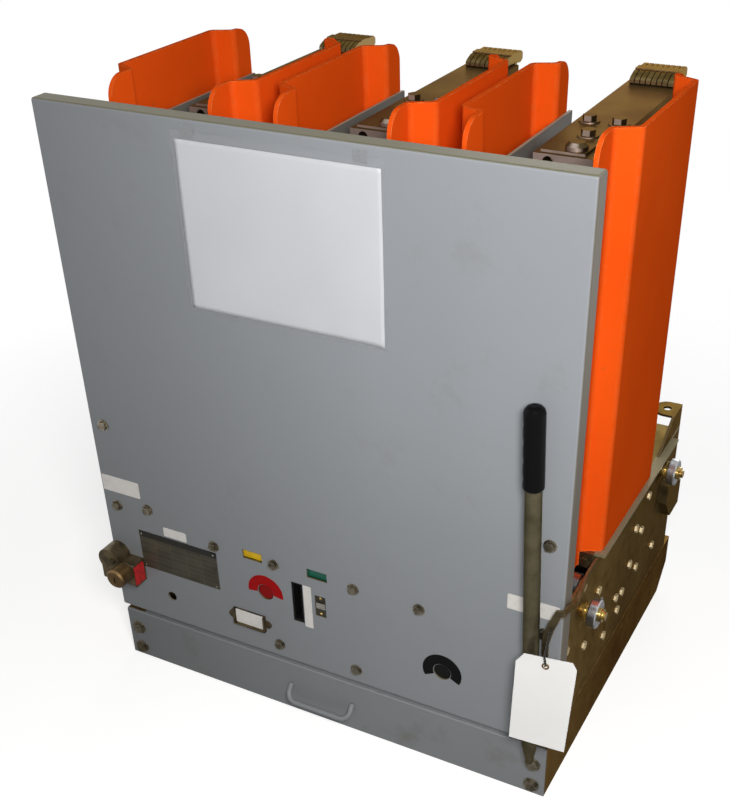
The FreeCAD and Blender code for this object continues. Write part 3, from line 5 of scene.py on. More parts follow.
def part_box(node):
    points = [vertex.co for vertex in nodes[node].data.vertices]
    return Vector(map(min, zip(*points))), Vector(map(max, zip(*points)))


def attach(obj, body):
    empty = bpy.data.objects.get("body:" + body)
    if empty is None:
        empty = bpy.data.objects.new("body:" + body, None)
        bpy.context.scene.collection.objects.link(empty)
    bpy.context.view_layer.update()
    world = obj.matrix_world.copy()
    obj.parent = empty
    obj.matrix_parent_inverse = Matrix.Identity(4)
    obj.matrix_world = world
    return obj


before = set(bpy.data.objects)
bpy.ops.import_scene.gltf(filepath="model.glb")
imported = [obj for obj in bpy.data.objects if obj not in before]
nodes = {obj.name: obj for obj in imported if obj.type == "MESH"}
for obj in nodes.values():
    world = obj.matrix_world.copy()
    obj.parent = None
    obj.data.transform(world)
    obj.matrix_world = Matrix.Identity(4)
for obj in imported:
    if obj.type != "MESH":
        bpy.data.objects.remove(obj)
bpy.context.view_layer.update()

scene = bpy.context.scene

# ---------------------------------------------------------------- rollers
# Hardened steel rollers on gold passivated pins, with washers behind each one. The pins are
# screwed to the side plates, and the cell's rails keep the treads bright.


def add_node(mat, kind, inputs=None, **settings):
    """A shader node; inputs maps its sockets to numbers, colours or other nodes' outputs."""
    tree = mat.node_tree
    node = tree.nodes.new("ShaderNode" + kind)
    for setting, value in settings.items():
        setattr(node, setting, value)
    for key, value in (inputs or {}).items():
        socket = node.inputs[key]
        if isinstance(value, bpy.types.NodeSocket):
            tree.links.new(value, socket)
        elif socket.type == "RGBA":
            socket.default_value = (*value, 1)
        else:
            socket.default_value = value
    return node


def shader_of(mat):
    """The one shader that a finish is made of."""
    return mat.node_tree.nodes["Principled BSDF"]


def finish(name, metal=0.0, rough=0.5, colour=None, **more):
    """A new material. Its colour is plain, or comes from a pattern laid on afterwards."""
    mat = bpy.data.materials.new(name)
    mat.use_nodes = True
    inputs = shader_of(mat).inputs
    inputs["Metallic"].default_value = metal
    inputs["Roughness"].default_value = rough
    if colour:
        inputs["Base Color"].default_value = (*colour, 1)
    for socket, value in more.items():
        inputs[socket.replace("_", " ")].default_value = value
    return mat


def place_in(mat):
    """The place on the object, in metres, for patterns that must not slide."""
    coords = mat.node_tree.nodes.get("place") or add_node(mat, "TexCoord", name="place")
    return coords.outputs["Object"]


def grade(mat, value, low, high, out_low=0.0, out_high=1.0):
    """A value stretched from one range to another."""
    spread = add_node(mat, "MapRange", {"Value": value, "From Min": low, "From Max": high,
                                        "To Min": out_low, "To Max": out_high})
    return spread.outputs["Result"]


def mottle(mat, scale, detail=4.0, rough=0.55, low=0.35, high=0.65, stretch=None):
    """Cloudy patches from 0 to 1 at so many per metre."""
    source = place_in(mat)
    if stretch:
        source = add_node(mat, "Mapping", {"Vector": source, "Scale": stretch}).outputs["Vector"]
    noise = add_node(mat, "TexNoise", {"Vector": source, "Scale": scale, "Detail": detail,
                                       "Roughness": rough})
    return grade(mat, noise.outputs["Fac"], low, high)


def blend_colour(mat, factor, first, second):
    """first where factor is 0, second where it is 1; either may be a colour or an output."""
    return add_node(mat, "Mix", {0: factor, 6: first, 7: second}, data_type="RGBA").outputs[2]


def feed(mat, socket, output):
    """Let another node set one of the finish's inputs."""
    mat.node_tree.links.new(output, shader_of(mat).inputs[socket])


def two_tones(mat, first, second, *pattern, **more):
    """Colour a finish in cloudy patches of two tones; the pattern is mottle's."""
    feed(mat, "Base Color", blend_colour(mat, mottle(mat, *pattern, **more), first, second))


def grain(mat, scale, depth, strength=0.3, detail=3.0):
    """Fine unevenness of the surface, depth in metres."""
    height = mottle(mat, scale, detail, 0.6, low=0.0, high=1.0)
    bump = add_node(mat, "Bump", {"Strength": strength, "Distance": depth, "Height": height})
    feed(mat, "Normal", bump.outputs["Normal"])


def dress(mat, *names, edge=0.0):
    """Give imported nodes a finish, smooth their round faces and break their sharp edges."""
    for name in names:
        node = nodes[name]
        node.data.materials.clear()
        node.data.materials.append(mat)
        node.data.shade_smooth()
        node.data.set_sharp_from_angle(angle=math.radians(32))
        if edge:
            bevel = node.modifiers.new("broken edge", "BEVEL")
            bevel.width = edge
            bevel.segments = 2
            bevel.limit_method = "ANGLE"
            bevel.angle_limit = math.radians(40)
            bevel.harden_normals = True
            bevel.use_clamp_overlap = True


roller_steel = finish("worn roller steel", 1.0, 0.28)
two_tones(roller_steel, (0.30, 0.30, 0.31), (0.55, 0.56, 0.58), 90)
grain(roller_steel, 500, 0.0002)
dress(roller_steel, "guide_roller", *["track_roller_%s_%s" % (end, side) for end in ("front", "rear")
                                      for side in ("left", "right")])
gold_hardware = finish("gold passivated hardware", 1.0, 0.30)
two_tones(gold_hardware, (0.28, 0.19, 0.06), (0.62, 0.45, 0.15), 120)
grain(gold_hardware, 700, 0.0002)
dress(gold_hardware, "roller_pins", edge=0.0004)

# ---------------------------------------------------------------- base channels
# Two channels and the cross members between them, folded from steel sheet, zinc plated and
# yellow passivated. With age the gold turns olive brown. Its edges are painted bright, as painted
# highlight and as rub wear, faces turned up are painted lighter as painted light, and the channels
# are painted lighter towards the front.
LEFT_RIGHT, FRONT_REAR, UP = 0, 1, 2


def axis_value(mat, axis):
    """One coordinate of the place on the object, in metres."""
    split = mat.node_tree.nodes.get("split")
    if not split:
        split = add_node(mat, "SeparateXYZ", {0: place_in(mat)}, name="split")
    return split.outputs[axis]


def facing(mat, axis):
    """How far the surface faces along a global axis, from -1 to 1."""
    geometry = add_node(mat, "NewGeometry")
    return add_node(mat, "SeparateXYZ", {0: geometry.outputs["True Normal"]}).outputs[axis]


def work_out(mat, operation, *values):
    """One step of arithmetic on numbers and outputs."""
    return add_node(mat, "Math", dict(enumerate(values)), operation=operation).outputs[0]


def edge_wear_and_highlight(mat, width, low=0.02, high=0.12, scale=70):
    """1 along the edges, broken up by wear, and 0 on the flats; it marks rub wear, and painted edge
    highlights on metal.
    """
    rounded = add_node(mat, "Bevel", {"Radius": width}, samples=4)
    geometry = add_node(mat, "NewGeometry")
    turn = add_node(mat, "VectorMath", {0: rounded.outputs["Normal"],
                                        1: geometry.outputs["True Normal"]}, operation="DISTANCE")
    return work_out(mat, "MULTIPLY", grade(mat, turn.outputs["Value"], low, high),
                  mottle(mat, scale, 4, 0.6, low=0.40, high=0.60))


def tint(mat, factor, colour):
    """Lay a colour over the finish where factor is above 0."""
    under = shader_of(mat).inputs["Base Color"].links[0].from_socket
    feed(mat, "Base Color", blend_colour(mat, factor, under, colour))


def shade(colour, factor):
    """A lighter or darker shade of a colour."""
    return tuple(min(1, share * factor) for share in colour)


def passivated(name, dull, gold):
    """Yellow passivated zinc: cloudy olive and gold with darker handling stains, painted lighter on upward
    faces and with painted highlights along its edges.
    """
    mat = finish(name, 0.95, Specular_Tint=(0.55, 0.38, 0.16, 1))
    two_tones(mat, dull, gold, 9, 5, 0.6, low=0.36, high=0.68)
    stains = mottle(mat, 38, 6, 0.65, low=0.55, high=0.75)
    tint(mat, stains, shade(dull, 0.5))
    scratches = mottle(mat, 55, 6, 0.7, low=0.62, high=0.78, stretch=(1, 0.25, 1))
    tint(mat, grade(mat, scratches, 0, 1, 0, 0.7), shade(gold, 2.6))
    # Painted light: faces turned upwards are painted a lighter gold.
    tint(mat, grade(mat, facing(mat, UP), 0.6, 0.95, 0.0, 0.45), shade(gold, 1.9))
    # Painted highlight along the edges, together with rub wear.
    tint(mat, edge_wear_and_highlight(mat, 0.0012), shade(gold, 2.2))
    feed(mat, "Roughness", mottle(mat, 60, 3, 0.5, low=-0.9, high=1.9))
    grain(mat, 900, 0.0003, 0.25)
    return mat


base_finish = passivated("passivated base", (0.072, 0.042, 0.014), (0.140, 0.088, 0.034))
# Painted light: the channels are painted lighter towards the front.
painted_light_front = grade(base_finish, axis_value(base_finish, FRONT_REAR), 0.30, -0.01, 0.0, 0.55)
tint(base_finish, painted_light_front, (0.235, 0.170, 0.085))
dress(base_finish, "base_side_left", "base_side_right", "base_cross_members", edge=0.0005)

# ---------------------------------------------------------------- side plates and deck
# The same plated sheet. The side plates are painted darker towards the rear as painted shade; their
# upper lip, painted pale as a painted highlight, carries the deck's edge, and their bolt heads are
# brighter than the sheet.
plate_thick, deck_thick = 0.004, 0.005
deck_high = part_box("mech_deck")[1]
plate_face = deck_high.x + plate_thick
lip_low, lip_high = deck_high.z - deck_thick, deck_high.z + 0.0006
heads_top, heads_rear = 0.313, 0.465

plate_finish = passivated("passivated plate", (0.135, 0.098, 0.046), (0.245, 0.180, 0.085))
rearward = axis_value(plate_finish, FRONT_REAR)
level = axis_value(plate_finish, UP)
# Painted shade: the side plates are painted darker towards the rear.
tint(plate_finish, grade(plate_finish, rearward, 0.04, 0.30, 0.0, 0.66), (0.052, 0.038, 0.018))
# Painted highlight: the upper lip is painted pale and less metallic, as its lit top.
on_lip = work_out(plate_finish, "MULTIPLY", grade(plate_finish, level, lip_low, lip_low + 0.0008),
                grade(plate_finish, level, lip_high, lip_high - 0.0004))
tint(plate_finish, on_lip, (0.25, 0.225, 0.14))
feed(plate_finish, "Metallic", grade(plate_finish, on_lip, 0.0, 1.0, 0.95, 0.35))
outward = work_out(plate_finish, "ABSOLUTE", axis_value(plate_finish, LEFT_RIGHT))
on_heads = grade(plate_finish, outward, plate_face + 0.0003, plate_face + 0.0006)
for place, limit in ((level, heads_top), (rearward, heads_rear)):
    on_heads = work_out(plate_finish, "MULTIPLY", on_heads,
                      grade(plate_finish, place, limit, limit + 0.001, 1.0, 0.0))
tint(plate_finish, on_heads, (0.66, 0.56, 0.36))
dress(plate_finish, "mech_side_left", "mech_side_right", edge=0.0004)
deck_finish = passivated("passivated deck", (0.085, 0.068, 0.038), (0.150, 0.118, 0.064))
dress(deck_finish, "mech_deck", "mech_plates", "mech_front_plate", "cover_posts", edge=0.0004)

# ---------------------------------------------------------------- lower panel and pull handle
# Folded sheet in the cover's grey enamel with patches of floor dust, painted darker than the
# cover as painted shade and darker still towards the left, with a bent rod handle welded on in its middle.


def enamel(name, colour, dirt, rough):
    """Baked enamel on sheet: faint orange peel, slow changes of shade, and grime."""
    mat = finish(name, 0.0, rough, Specular_IOR_Level=0.25)
    two_tones(mat, colour, shade(colour, 0.94), 3.2, 3, 0.5, low=0.3, high=0.7)
    tint(mat, mottle(mat, 11, 7, 0.7, low=0.56, high=0.85), dirt)
    grain(mat, 420, 0.0004, 0.12, 2.0)
    return mat


# Painted shade: the panel's enamel is a darker copy of the cover's grey.
panel_finish = enamel("grey panel enamel", (0.228, 0.238, 0.248), (0.15, 0.14, 0.125), 0.42)
# Painted shade: darker towards the left.
panel_painted_shade = grade(panel_finish, axis_value(panel_finish, LEFT_RIGHT), -0.36, 0.0, 0.6, 0.0)
tint(panel_finish, panel_painted_shade, (0.130, 0.134, 0.138))
dress(panel_finish, "lower_front_panel", "pull_handle", edge=0.0006)

# ---------------------------------------------------------------- moulded supports
# Orange glass-filled polyester, pressed in one piece with softly rounded steps. The gloss is
# uneven and the edges carry pale rub marks.
poles = (1, 2, 3)
moulding = finish("orange polyester", 0.0, 0.5, Specular_IOR_Level=0.0)
two_tones(moulding, (0.88, 0.100, 0.008), (0.79, 0.083, 0.006), 5, 4, 0.5, low=0.3, high=0.7)
tint(moulding, mottle(moulding, 60, 5, 0.7, low=0.63, high=0.80), (0.62, 0.10, 0.02))
tint(moulding, edge_wear_and_highlight(moulding, 0.0011, 0.04, 0.16, 110), (0.84, 0.27, 0.09))
grain(moulding, 160, 0.0006, 0.12, 4.0)
dress(moulding, *["pole_support_%d" % pole for pole in poles], edge=0.0009)

# ---------------------------------------------------------------- conductors
# Copper bars, tarnished brown and silver plated on their front ends, screwed to the supports.
# Sprung fingers on their rear ends grip the cell's fixed bars, and grey painted angles brace
# the supports' walls; the angles' upward faces are painted light as a painted highlight.
rows = ("upper", "lower")
copper = finish("tarnished copper bar", 0.9, 0.46, Specular_Tint=(0.6, 0.42, 0.2, 1))
two_tones(copper, (0.058, 0.042, 0.019), (0.100, 0.074, 0.036), 18, 5, 0.6, low=0.35, high=0.7)
plated = blend_colour(copper, mottle(copper, 40), (0.52, 0.42, 0.36), (0.66, 0.56, 0.50))
tint(copper, grade(copper, facing(copper, FRONT_REAR), -0.6, -0.8), plated)
grain(copper, 300, 0.0003)
dress(copper, *["%s_bar_%d" % (row, pole) for row in rows for pole in poles], edge=0.0006)

silvered = finish("silvered fingers", 0.95, 0.38, Specular_Tint=(0.5, 0.38, 0.2, 1))
dull_top = blend_colour(silvered, mottle(silvered, 55), (0.070, 0.050, 0.020), (0.135, 0.098, 0.042))
upward = grade(silvered, facing(silvered, UP), 0.2, 0.7)
feed(silvered, "Base Color", blend_colour(silvered, upward, (0.34, 0.25, 0.13), dull_top))
grain(silvered, 400, 0.0002)
dress(silvered, *["%s_fingers_%d" % (row, pole) for row in rows for pole in poles], edge=0.0003)

brace_paint = enamel("grey brace paint", (0.135, 0.130, 0.115), (0.09, 0.08, 0.06), 0.5)
# Painted highlight: the braces' upward faces are painted light brown.
tint(brace_paint, grade(brace_paint, facing(brace_paint, UP), 0.5, 0.9), (0.30, 0.25, 0.17))
dress(brace_paint, "pole_braces", edge=0.0004)

# ---------------------------------------------------------------- interrupters and drive rods
# White glazed ceramic barrels with a brazed metal band and end cups. The drive rod below is
# moulded insulation on a steel fork, and the moving stem above it is bare copper.
bottle_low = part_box("interrupter_1")[0].z
bottle_length = 0.214
bottle_middle = bottle_low + bottle_length / 2
band_half, cup_start = 0.0140, 0.0930
fork_top, stem_foot = 0.2260, 0.4460
soft_edge = 0.0002

ceramic = finish("glazed ceramic", rough=0.18, Coat_Weight=0.4)
off_middle = work_out(ceramic, "ABSOLUTE",
                    work_out(ceramic, "SUBTRACT", axis_value(ceramic, UP), bottle_middle))
is_band = grade(ceramic, off_middle, band_half + soft_edge, band_half - soft_edge)
is_cup = grade(ceramic, off_middle, cup_start - soft_edge, cup_start + soft_edge)
two_tones(ceramic, (0.80, 0.78, 0.72), (0.74, 0.71, 0.64), 20, 3)
tint(ceramic, is_band, (0.48, 0.46, 0.42))
tint(ceramic, is_cup, (0.46, 0.42, 0.36))
dress(ceramic, *["interrupter_%d" % pole for pole in poles])

rod_finish = finish("drive rod", rough=0.35)
rod_level = axis_value(rod_finish, UP)
is_stem = grade(rod_finish, rod_level, stem_foot, stem_foot + soft_edge)
is_fork = grade(rod_finish, rod_level, fork_top + soft_edge, fork_top - soft_edge)
rod_colour = blend_colour(rod_finish, is_fork, (0.30, 0.07, 0.035), (0.35, 0.33, 0.28))
feed(rod_finish, "Base Color", rod_colour)
tint(rod_finish, is_stem, (0.55, 0.28, 0.16))
dress(rod_finish, *["contact_rod_%d" % pole for pole in poles])

for mat, first, second in ((ceramic, is_band, is_cup), (rod_finish, is_stem, is_fork)):
    feed(mat, "Metallic", work_out(mat, "MAXIMUM", first, second))

# ---------------------------------------------------------------- shafts, spring, motor and coils
# Ground steel shafts in the plates' bearings, and an oiled black closing spring. The motor
# and the two release coils are screwed to the inner plates, in black enamel.
shaft_steel = finish("ground steel", 1.0, 0.32)
two_tones(shaft_steel, (0.26, 0.25, 0.23), (0.44, 0.44, 0.43), 40, 5)
grain(shaft_steel, 600, 0.0002)
dress(shaft_steel, "main_shaft", "cam_shaft", edge=0.0005)
spring_steel = finish("oiled spring steel", 0.8, 0.35, (0.06, 0.06, 0.06))
grain(spring_steel, 500, 0.0003)
dress(spring_steel, "closing_spring")
motor_enamel = finish("black enamel", 0.1, 0.38, (0.025, 0.025, 0.027))
grain(motor_enamel, 350, 0.0005)
dress(motor_enamel, "charging_motor", "release_coils", edge=0.0006)

# ---------------------------------------------------------------- front cover
# One folded sheet in light grey enamel, screwed to two posts, with patches of dirt. It is painted
# darker towards the floor and the left as painted shade, olive on its upward folds, and painted
# brown on its right-facing folds as painted shade.
cover_finish = enamel("light grey enamel", (0.305, 0.324, 0.350), (0.240, 0.245, 0.242), 0.40)
# Painted shade: darker towards the floor.
cover_painted_shade_low = grade(cover_finish, axis_value(cover_finish, UP), 0.08, 0.62, 0.52, 0.0)
tint(cover_finish, cover_painted_shade_low, (0.205, 0.215, 0.220))
# Painted shade: darker towards the left.
cover_painted_shade_left = grade(cover_finish, axis_value(cover_finish, LEFT_RIGHT), -0.38, 0.12, 0.60, 0.0)
tint(cover_finish, cover_painted_shade_left, (0.170, 0.180, 0.188))
tint(cover_finish, grade(cover_finish, facing(cover_finish, UP), 0.5, 0.9), (0.135, 0.120, 0.060))
# Painted shade: right-facing faces are painted a darker brown.
tint(cover_finish, grade(cover_finish, facing(cover_finish, LEFT_RIGHT), 0.5, 0.9), (0.150, 0.128, 0.095))
dress(cover_finish, "front_cover", edge=0.0005)

# ---------------------------------------------------------------- screws and bolts of the front
# Zinc plated hexagon screws on flat washers, driven from the front. They have gone dull, and
# their edges are painted bright as a painted highlight.
screw_finish = finish("old zinc screws", 0.95, 0.36, Specular_Tint=(0.6, 0.52, 0.36, 1))
two_tones(screw_finish, (0.085, 0.072, 0.046), (0.27, 0.24, 0.185), 60)
# Painted highlight: the screws' edges are painted pale.
tint(screw_finish, edge_wear_and_highlight(screw_finish, 0.0009, 0.03, 0.25, 140), (0.78, 0.74, 0.66))
grain(screw_finish, 800, 0.0003, 0.4)
dress(screw_finish, "front_fasteners", edge=0.0006)

# ---------------------------------------------------------------- flags, buttons and socket
# Each flag is a strip painted in two fields, one of which shows in its window. The glossy
# push buttons have half-ring legends stuck round them, and the charging lever's socket is
# moulded in black.
white, red = (0.62, 0.62, 0.58), (0.45, 0.010, 0.010)
yellow, dull_yellow = (0.78, 0.50, 0.010), (0.66, 0.40, 0.012)
green, dull_green = (0.006, 0.105, 0.065), (0.010, 0.075, 0.050)


def middle(node):
    """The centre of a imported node's box."""
    low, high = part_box(node)
    return (low + high) / 2


for name, flag, upper, lower, dull_lower in (
        ("yellow flag paint", "spring_flag", white, yellow, dull_yellow),
        ("green flag paint", "position_flag", red, green, dull_green)):
    divide = middle(flag).z
    flag_paint = finish(name, 0.0, 0.42)
    two_tones(flag_paint, lower, dull_lower, 70)
    in_upper = grade(flag_paint, axis_value(flag_paint, UP), divide - soft_edge / 2, divide + soft_edge / 2)
    tint(flag_paint, in_upper, upper)
    dress(flag_paint, flag)

for name, colour, gloss, parts in (("deep red button", (0.24, 0.004, 0.004), 0.10, ["trip_button"]),
                                   ("black button", (0.006, 0.006, 0.006), 0.12,
                                    ["close_button", "charge_slot"])):
    button_finish = finish(name, 0.0, 0.30, colour, Specular_IOR_Level=gloss)
    grain(button_finish, 300, 0.0003, 0.2)
    dress(button_finish, *parts)


def add_piece(name, data, mat):
    """Put a mesh or a curve on the breaker's fixed body, in one finish."""
    data.materials.append(mat)
    piece = bpy.data.objects.new(name, data)
    scene.collection.objects.link(piece)
    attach(piece, "frame")
    return piece


def add_mesh(name, bm, mat):
    """Turn the faces outwards and make them a piece."""
    bmesh.ops.recalc_face_normals(bm, faces=bm.faces)
    mesh = bpy.data.meshes.new(name)
    bm.to_mesh(mesh)
    bm.free()
    return add_piece(name, mesh, mat)


def half_ring(name, centre, inner, outer, start, end, thick, mat, steps=36):
    """A printed or stuck legend band round a button, standing a little off the sheet."""
    bm = bmesh.new()
    rings = []
    for k in range(steps + 1):
        angle = math.radians(start + (end - start) * k / steps)
        for y in (-thick, 0.0):
            for radius in (inner, outer):
                rings.append(bm.verts.new((centre.x + radius * math.cos(angle), y,
                                           centre.z + radius * math.sin(angle))))
    for k in range(steps):
        a, b = 4 * k, 4 * (k + 1)
        bm.faces.new((rings[a], rings[a + 1], rings[b + 1], rings[b]))
        bm.faces.new((rings[a + 1], rings[a + 3], rings[b + 3], rings[b + 1]))
        bm.faces.new((rings[a], rings[b], rings[b + 2], rings[a + 2]))
    bm.faces.new((rings[0], rings[2], rings[3], rings[1]))
    last = 4 * steps
    bm.faces.new((rings[last], rings[last + 1], rings[last + 3], rings[last + 2]))
    add_mesh(name, bm, mat)


legend_inner, legend_outer, legend_thick = 0.0142, 0.030, 0.0006
red_legend = finish("red legend", 0.0, 0.40, Specular_IOR_Level=0.05)
two_tones(red_legend, (0.34, 0.006, 0.007), (0.25, 0.006, 0.006), 110, 5, 0.6, low=0.55, high=0.75)
black_legend = finish("black legend", 0.0, 0.45, (0.006, 0.006, 0.006), Specular_IOR_Level=0.05)
grain(black_legend, 260, 0.0003, 0.2)
for name, button, start, end, mat in (("trip_legend", "trip_button", -8, 188, red_legend),
                                      ("close_legend", "close_button", -28, 208, black_legend)):
    half_ring(name, middle(button), legend_inner, legend_outer, start, end, legend_thick, mat)

# ---------------------------------------------------------------- labels and card
# Blank self-adhesive paper labels on the cover, and a blank card slipped under the rims of a
# dark metal holder.


def card(name, outline, thick, mat):
    """A thin card from the points of its rear face."""
    bm = bmesh.new()
    face = bm.faces.new([bm.verts.new(point) for point in outline])
    face.normal_update()
    if face.normal.y > 0:
        face.normal_flip()
    push = bmesh.ops.extrude_face_region(bm, geom=[face])
    front = [part for part in push["geom"] if isinstance(part, bmesh.types.BMVert)]
    bmesh.ops.translate(bm, verts=front, vec=(0, -thick, 0))
    return add_mesh(name, bm, mat)


def thin_plate(name, x0, x1, z0, z1, y, thick, mat, corner=0.002):
    """A flat rectangle on the cover with rounded corners."""
    outline = []
    for cx, cz, start in ((x1 - corner, z1 - corner, 0), (x0 + corner, z1 - corner, 90),
                          (x0 + corner, z0 + corner, 180), (x1 - corner, z0 + corner, 270)):
        for k in range(5):
            angle = math.radians(start + 22.5 * k)
            outline.append((cx + corner * math.cos(angle), y, cz + corner * math.sin(angle)))
    return card(name, outline, thick, mat)


label_thick = 0.0003
label_paper = finish("label paper", 0.0, 0.45)
two_tones(label_paper, (0.72, 0.70, 0.67), (0.58, 0.54, 0.50), 70, 5, 0.6, low=0.5, high=0.8)
for name, left, right, low, high, corner in (("left_label", -0.3685, -0.300, 0.318, 0.3455, 0.002),
                                             ("small_label", -0.265, -0.223, 0.262, 0.278, 0.002),
                                             ("right_label", 0.294, 0.366, 0.319, 0.343, 0.002),
                                             ("slot_label", -0.0215, -0.008, 0.174, 0.250, 0.001)):
    thin_plate(name, left, right, low, high, 0.0, label_thick, label_paper, corner)

rim_side, rim_low, rim_high = 0.0135, 0.003, 0.001
holder_low, holder_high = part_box("card_holder")
dark_metal = finish("dark lock case", 0.8, 0.42)
two_tones(dark_metal, (0.055, 0.043, 0.024), (0.165, 0.122, 0.064), 50, 5)
grain(dark_metal, 420, 0.0004)
dress(dark_metal, "card_holder", edge=0.0005)
thin_plate("holder_card", holder_low.x + rim_side, holder_high.x - rim_side, holder_low.z + rim_low,
           holder_high.z - rim_high, y=-0.0021, thick=0.0004, mat=label_paper, corner=0.0008)

# ---------------------------------------------------------------- counter and rating plate
# The rating plate is brown etched metal with ruled fields, held by four rivets. The counter
# has a silver band across its brown face and a gold passivated screw above and below it.
# Both are left blank.
brown_plate = finish("brown etched plate", 0.3, 0.42, Specular_IOR_Level=0.3)
two_tones(brown_plate, (0.036, 0.033, 0.024), (0.062, 0.055, 0.038), 26, 5)
grain(brown_plate, 300, 0.0002, 0.2)
dress(brown_plate, "counter", edge=0.0003)

field_wide, field_high, rule_wide, header_high = 0.0284, 0.0085, 0.0004, 0.0100
rivet_inset, rivet_radius, rivet_height = 0.005, 0.0016, 0.0009
plate_low, plate_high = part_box("rating_plate")
etched = finish("etched plate with blank fields", 0.3, 0.42, Specular_IOR_Level=0.3)
across, upwards = [grade(etched, axis_value(etched, axis), plate_low[axis], plate_high[axis],
                         0.0, plate_high[axis] - plate_low[axis]) for axis in (LEFT_RIGHT, UP)]
flat = add_node(etched, "CombineXYZ", {0: across, 1: upwards})
fields = add_node(etched, "TexBrick", {
    "Vector": flat.outputs[0], "Scale": 1.0, "Mortar Size": rule_wide, "Mortar Smooth": 0.3,
    "Brick Width": field_wide, "Row Height": field_high,
    "Color1": (0, 0, 0), "Color2": (0.35, 0.35, 0.35), "Mortar": (1, 1, 1)}, offset=0.0)
two_tones(etched, (0.040, 0.036, 0.026), (0.066, 0.058, 0.040), 26, 5)
tint(etched, grade(etched, fields.outputs["Color"], 0.0, 1.0, 0.0, 0.6), (0.135, 0.120, 0.085))
header_foot = plate_high.z - header_high
in_header = grade(etched, axis_value(etched, UP), header_foot - 0.0005, header_foot)
tint(etched, in_header, (0.020, 0.019, 0.016))
dress(etched, "rating_plate", edge=0.0002)


def domes(name, places, radius, height, mat, around=16):
    """Small round heads standing on the cover, each a low dome turned about its axis."""
    bm = bmesh.new()
    turns = [2 * math.pi * j / around for j in range(around)]
    for x, y, z in places:
        rings = []
        for k in range(5):
            lean = math.radians(18 * k)
            r, lift = radius * math.cos(lean), height * math.sin(lean)
            rings.append([bm.verts.new((x + r * math.cos(a), y - lift, z + r * math.sin(a)))
                          for a in turns])
        for low, high in zip(rings[:-1], rings[1:]):
            for j in range(around):
                bm.faces.new((low[j], low[(j + 1) % around], high[(j + 1) % around], high[j]))
        bm.faces.new(rings[-1])
        bm.faces.new(rings[0])
    piece = add_mesh(name, bm, mat)
    piece.data.shade_smooth()
    piece.data.set_sharp_from_angle(angle=math.radians(50))


domes("plate_rivets", [(x, plate_low.y, z) for x in (plate_low.x + rivet_inset, plate_high.x - rivet_inset)
                       for z in (plate_low.z + rivet_inset, plate_high.z - rivet_inset)],
      rivet_radius, rivet_height, screw_finish)

band_inset, band_half_high, band_thick = 0.0012, 0.005, 0.0005
screw_step, screw_radius, screw_height = 0.014, 0.0022, 0.0012
counter_low, counter_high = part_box("counter")
counter_middle = middle("counter")
silver = finish("brushed silver band", 0.8, 0.34)
two_tones(silver, (0.30, 0.285, 0.26), (0.52, 0.50, 0.46), 90, stretch=(1, 1, 6))
thin_plate("counter_band", counter_low.x + band_inset, counter_high.x - band_inset,
           counter_middle.z - band_half_high, counter_middle.z + band_half_high,
           counter_low.y, band_thick, silver, corner=0.0006)
domes("counter_screws", [(counter_middle.x, counter_low.y, counter_middle.z + step)
                         for step in (-screw_step, screw_step)],
      screw_radius, screw_height, gold_hardware)

# ---------------------------------------------------------------- key lock
# A bronze cylinder in a dark case, screwed on at the cover's left edge. A red painted plate
# covers the side of the case.
bronze = finish("bronze lock", 0.9, 0.36)
two_tones(bronze, (0.10, 0.062, 0.026), (0.23, 0.145, 0.060), 45, 5)
grain(bronze, 420, 0.0004)
dress(bronze, "key_lock_cylinder", edge=0.0005)
dress(dark_metal, "key_lock_body", edge=0.0005)

side_half_wide, side_half_high, side_thick = 0.0115, 0.0170, 0.0008
side_place = (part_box("key_lock_body")[1].x, -0.0150, 0.1855)
red_plate = finish("red painted plate", 0.0, 0.5, Specular_IOR_Level=0.2)
two_tones(red_plate, (0.46, 0.018, 0.020), (0.17, 0.020, 0.014), 120, 5, 0.65, low=0.48, high=0.70)
side_plate = thin_plate("lock_side_plate", -side_half_wide, side_half_wide, -side_half_high,
                        side_half_high, 0.0, side_thick, red_plate, corner=0.003)
side_plate.data.transform(Matrix.Translation(side_place) @ Matrix.Rotation(math.radians(90), 4, "Z"))

# ---------------------------------------------------------------- paper sheet in its sleeve
# A blank letter-size sheet of white paper in a clear plastic pocket, which hangs on the
# cover by two bits of tape at its upper edge.
sheet_x, sheet_z, sheet_wide, sheet_high = -0.0161, 0.7635, 0.2794, 0.2159
left, right = sheet_x - sheet_wide / 2, sheet_x + sheet_wide / 2
low, high = sheet_z - sheet_high / 2, sheet_z + sheet_high / 2
skin_thick = 0.00015
paper = finish("white paper", 0.0, 0.5)
two_tones(paper, (0.655, 0.675, 0.705), (0.600, 0.618, 0.650), 6, 3, 0.5, low=0.3, high=0.7)
sleeve = finish("clear sleeve", 0.0, 0.16, (0.62, 0.64, 0.68), Alpha=0.07)
sleeve.surface_render_method = "BLENDED"
grain(sleeve, 30, 0.0006, 0.4)


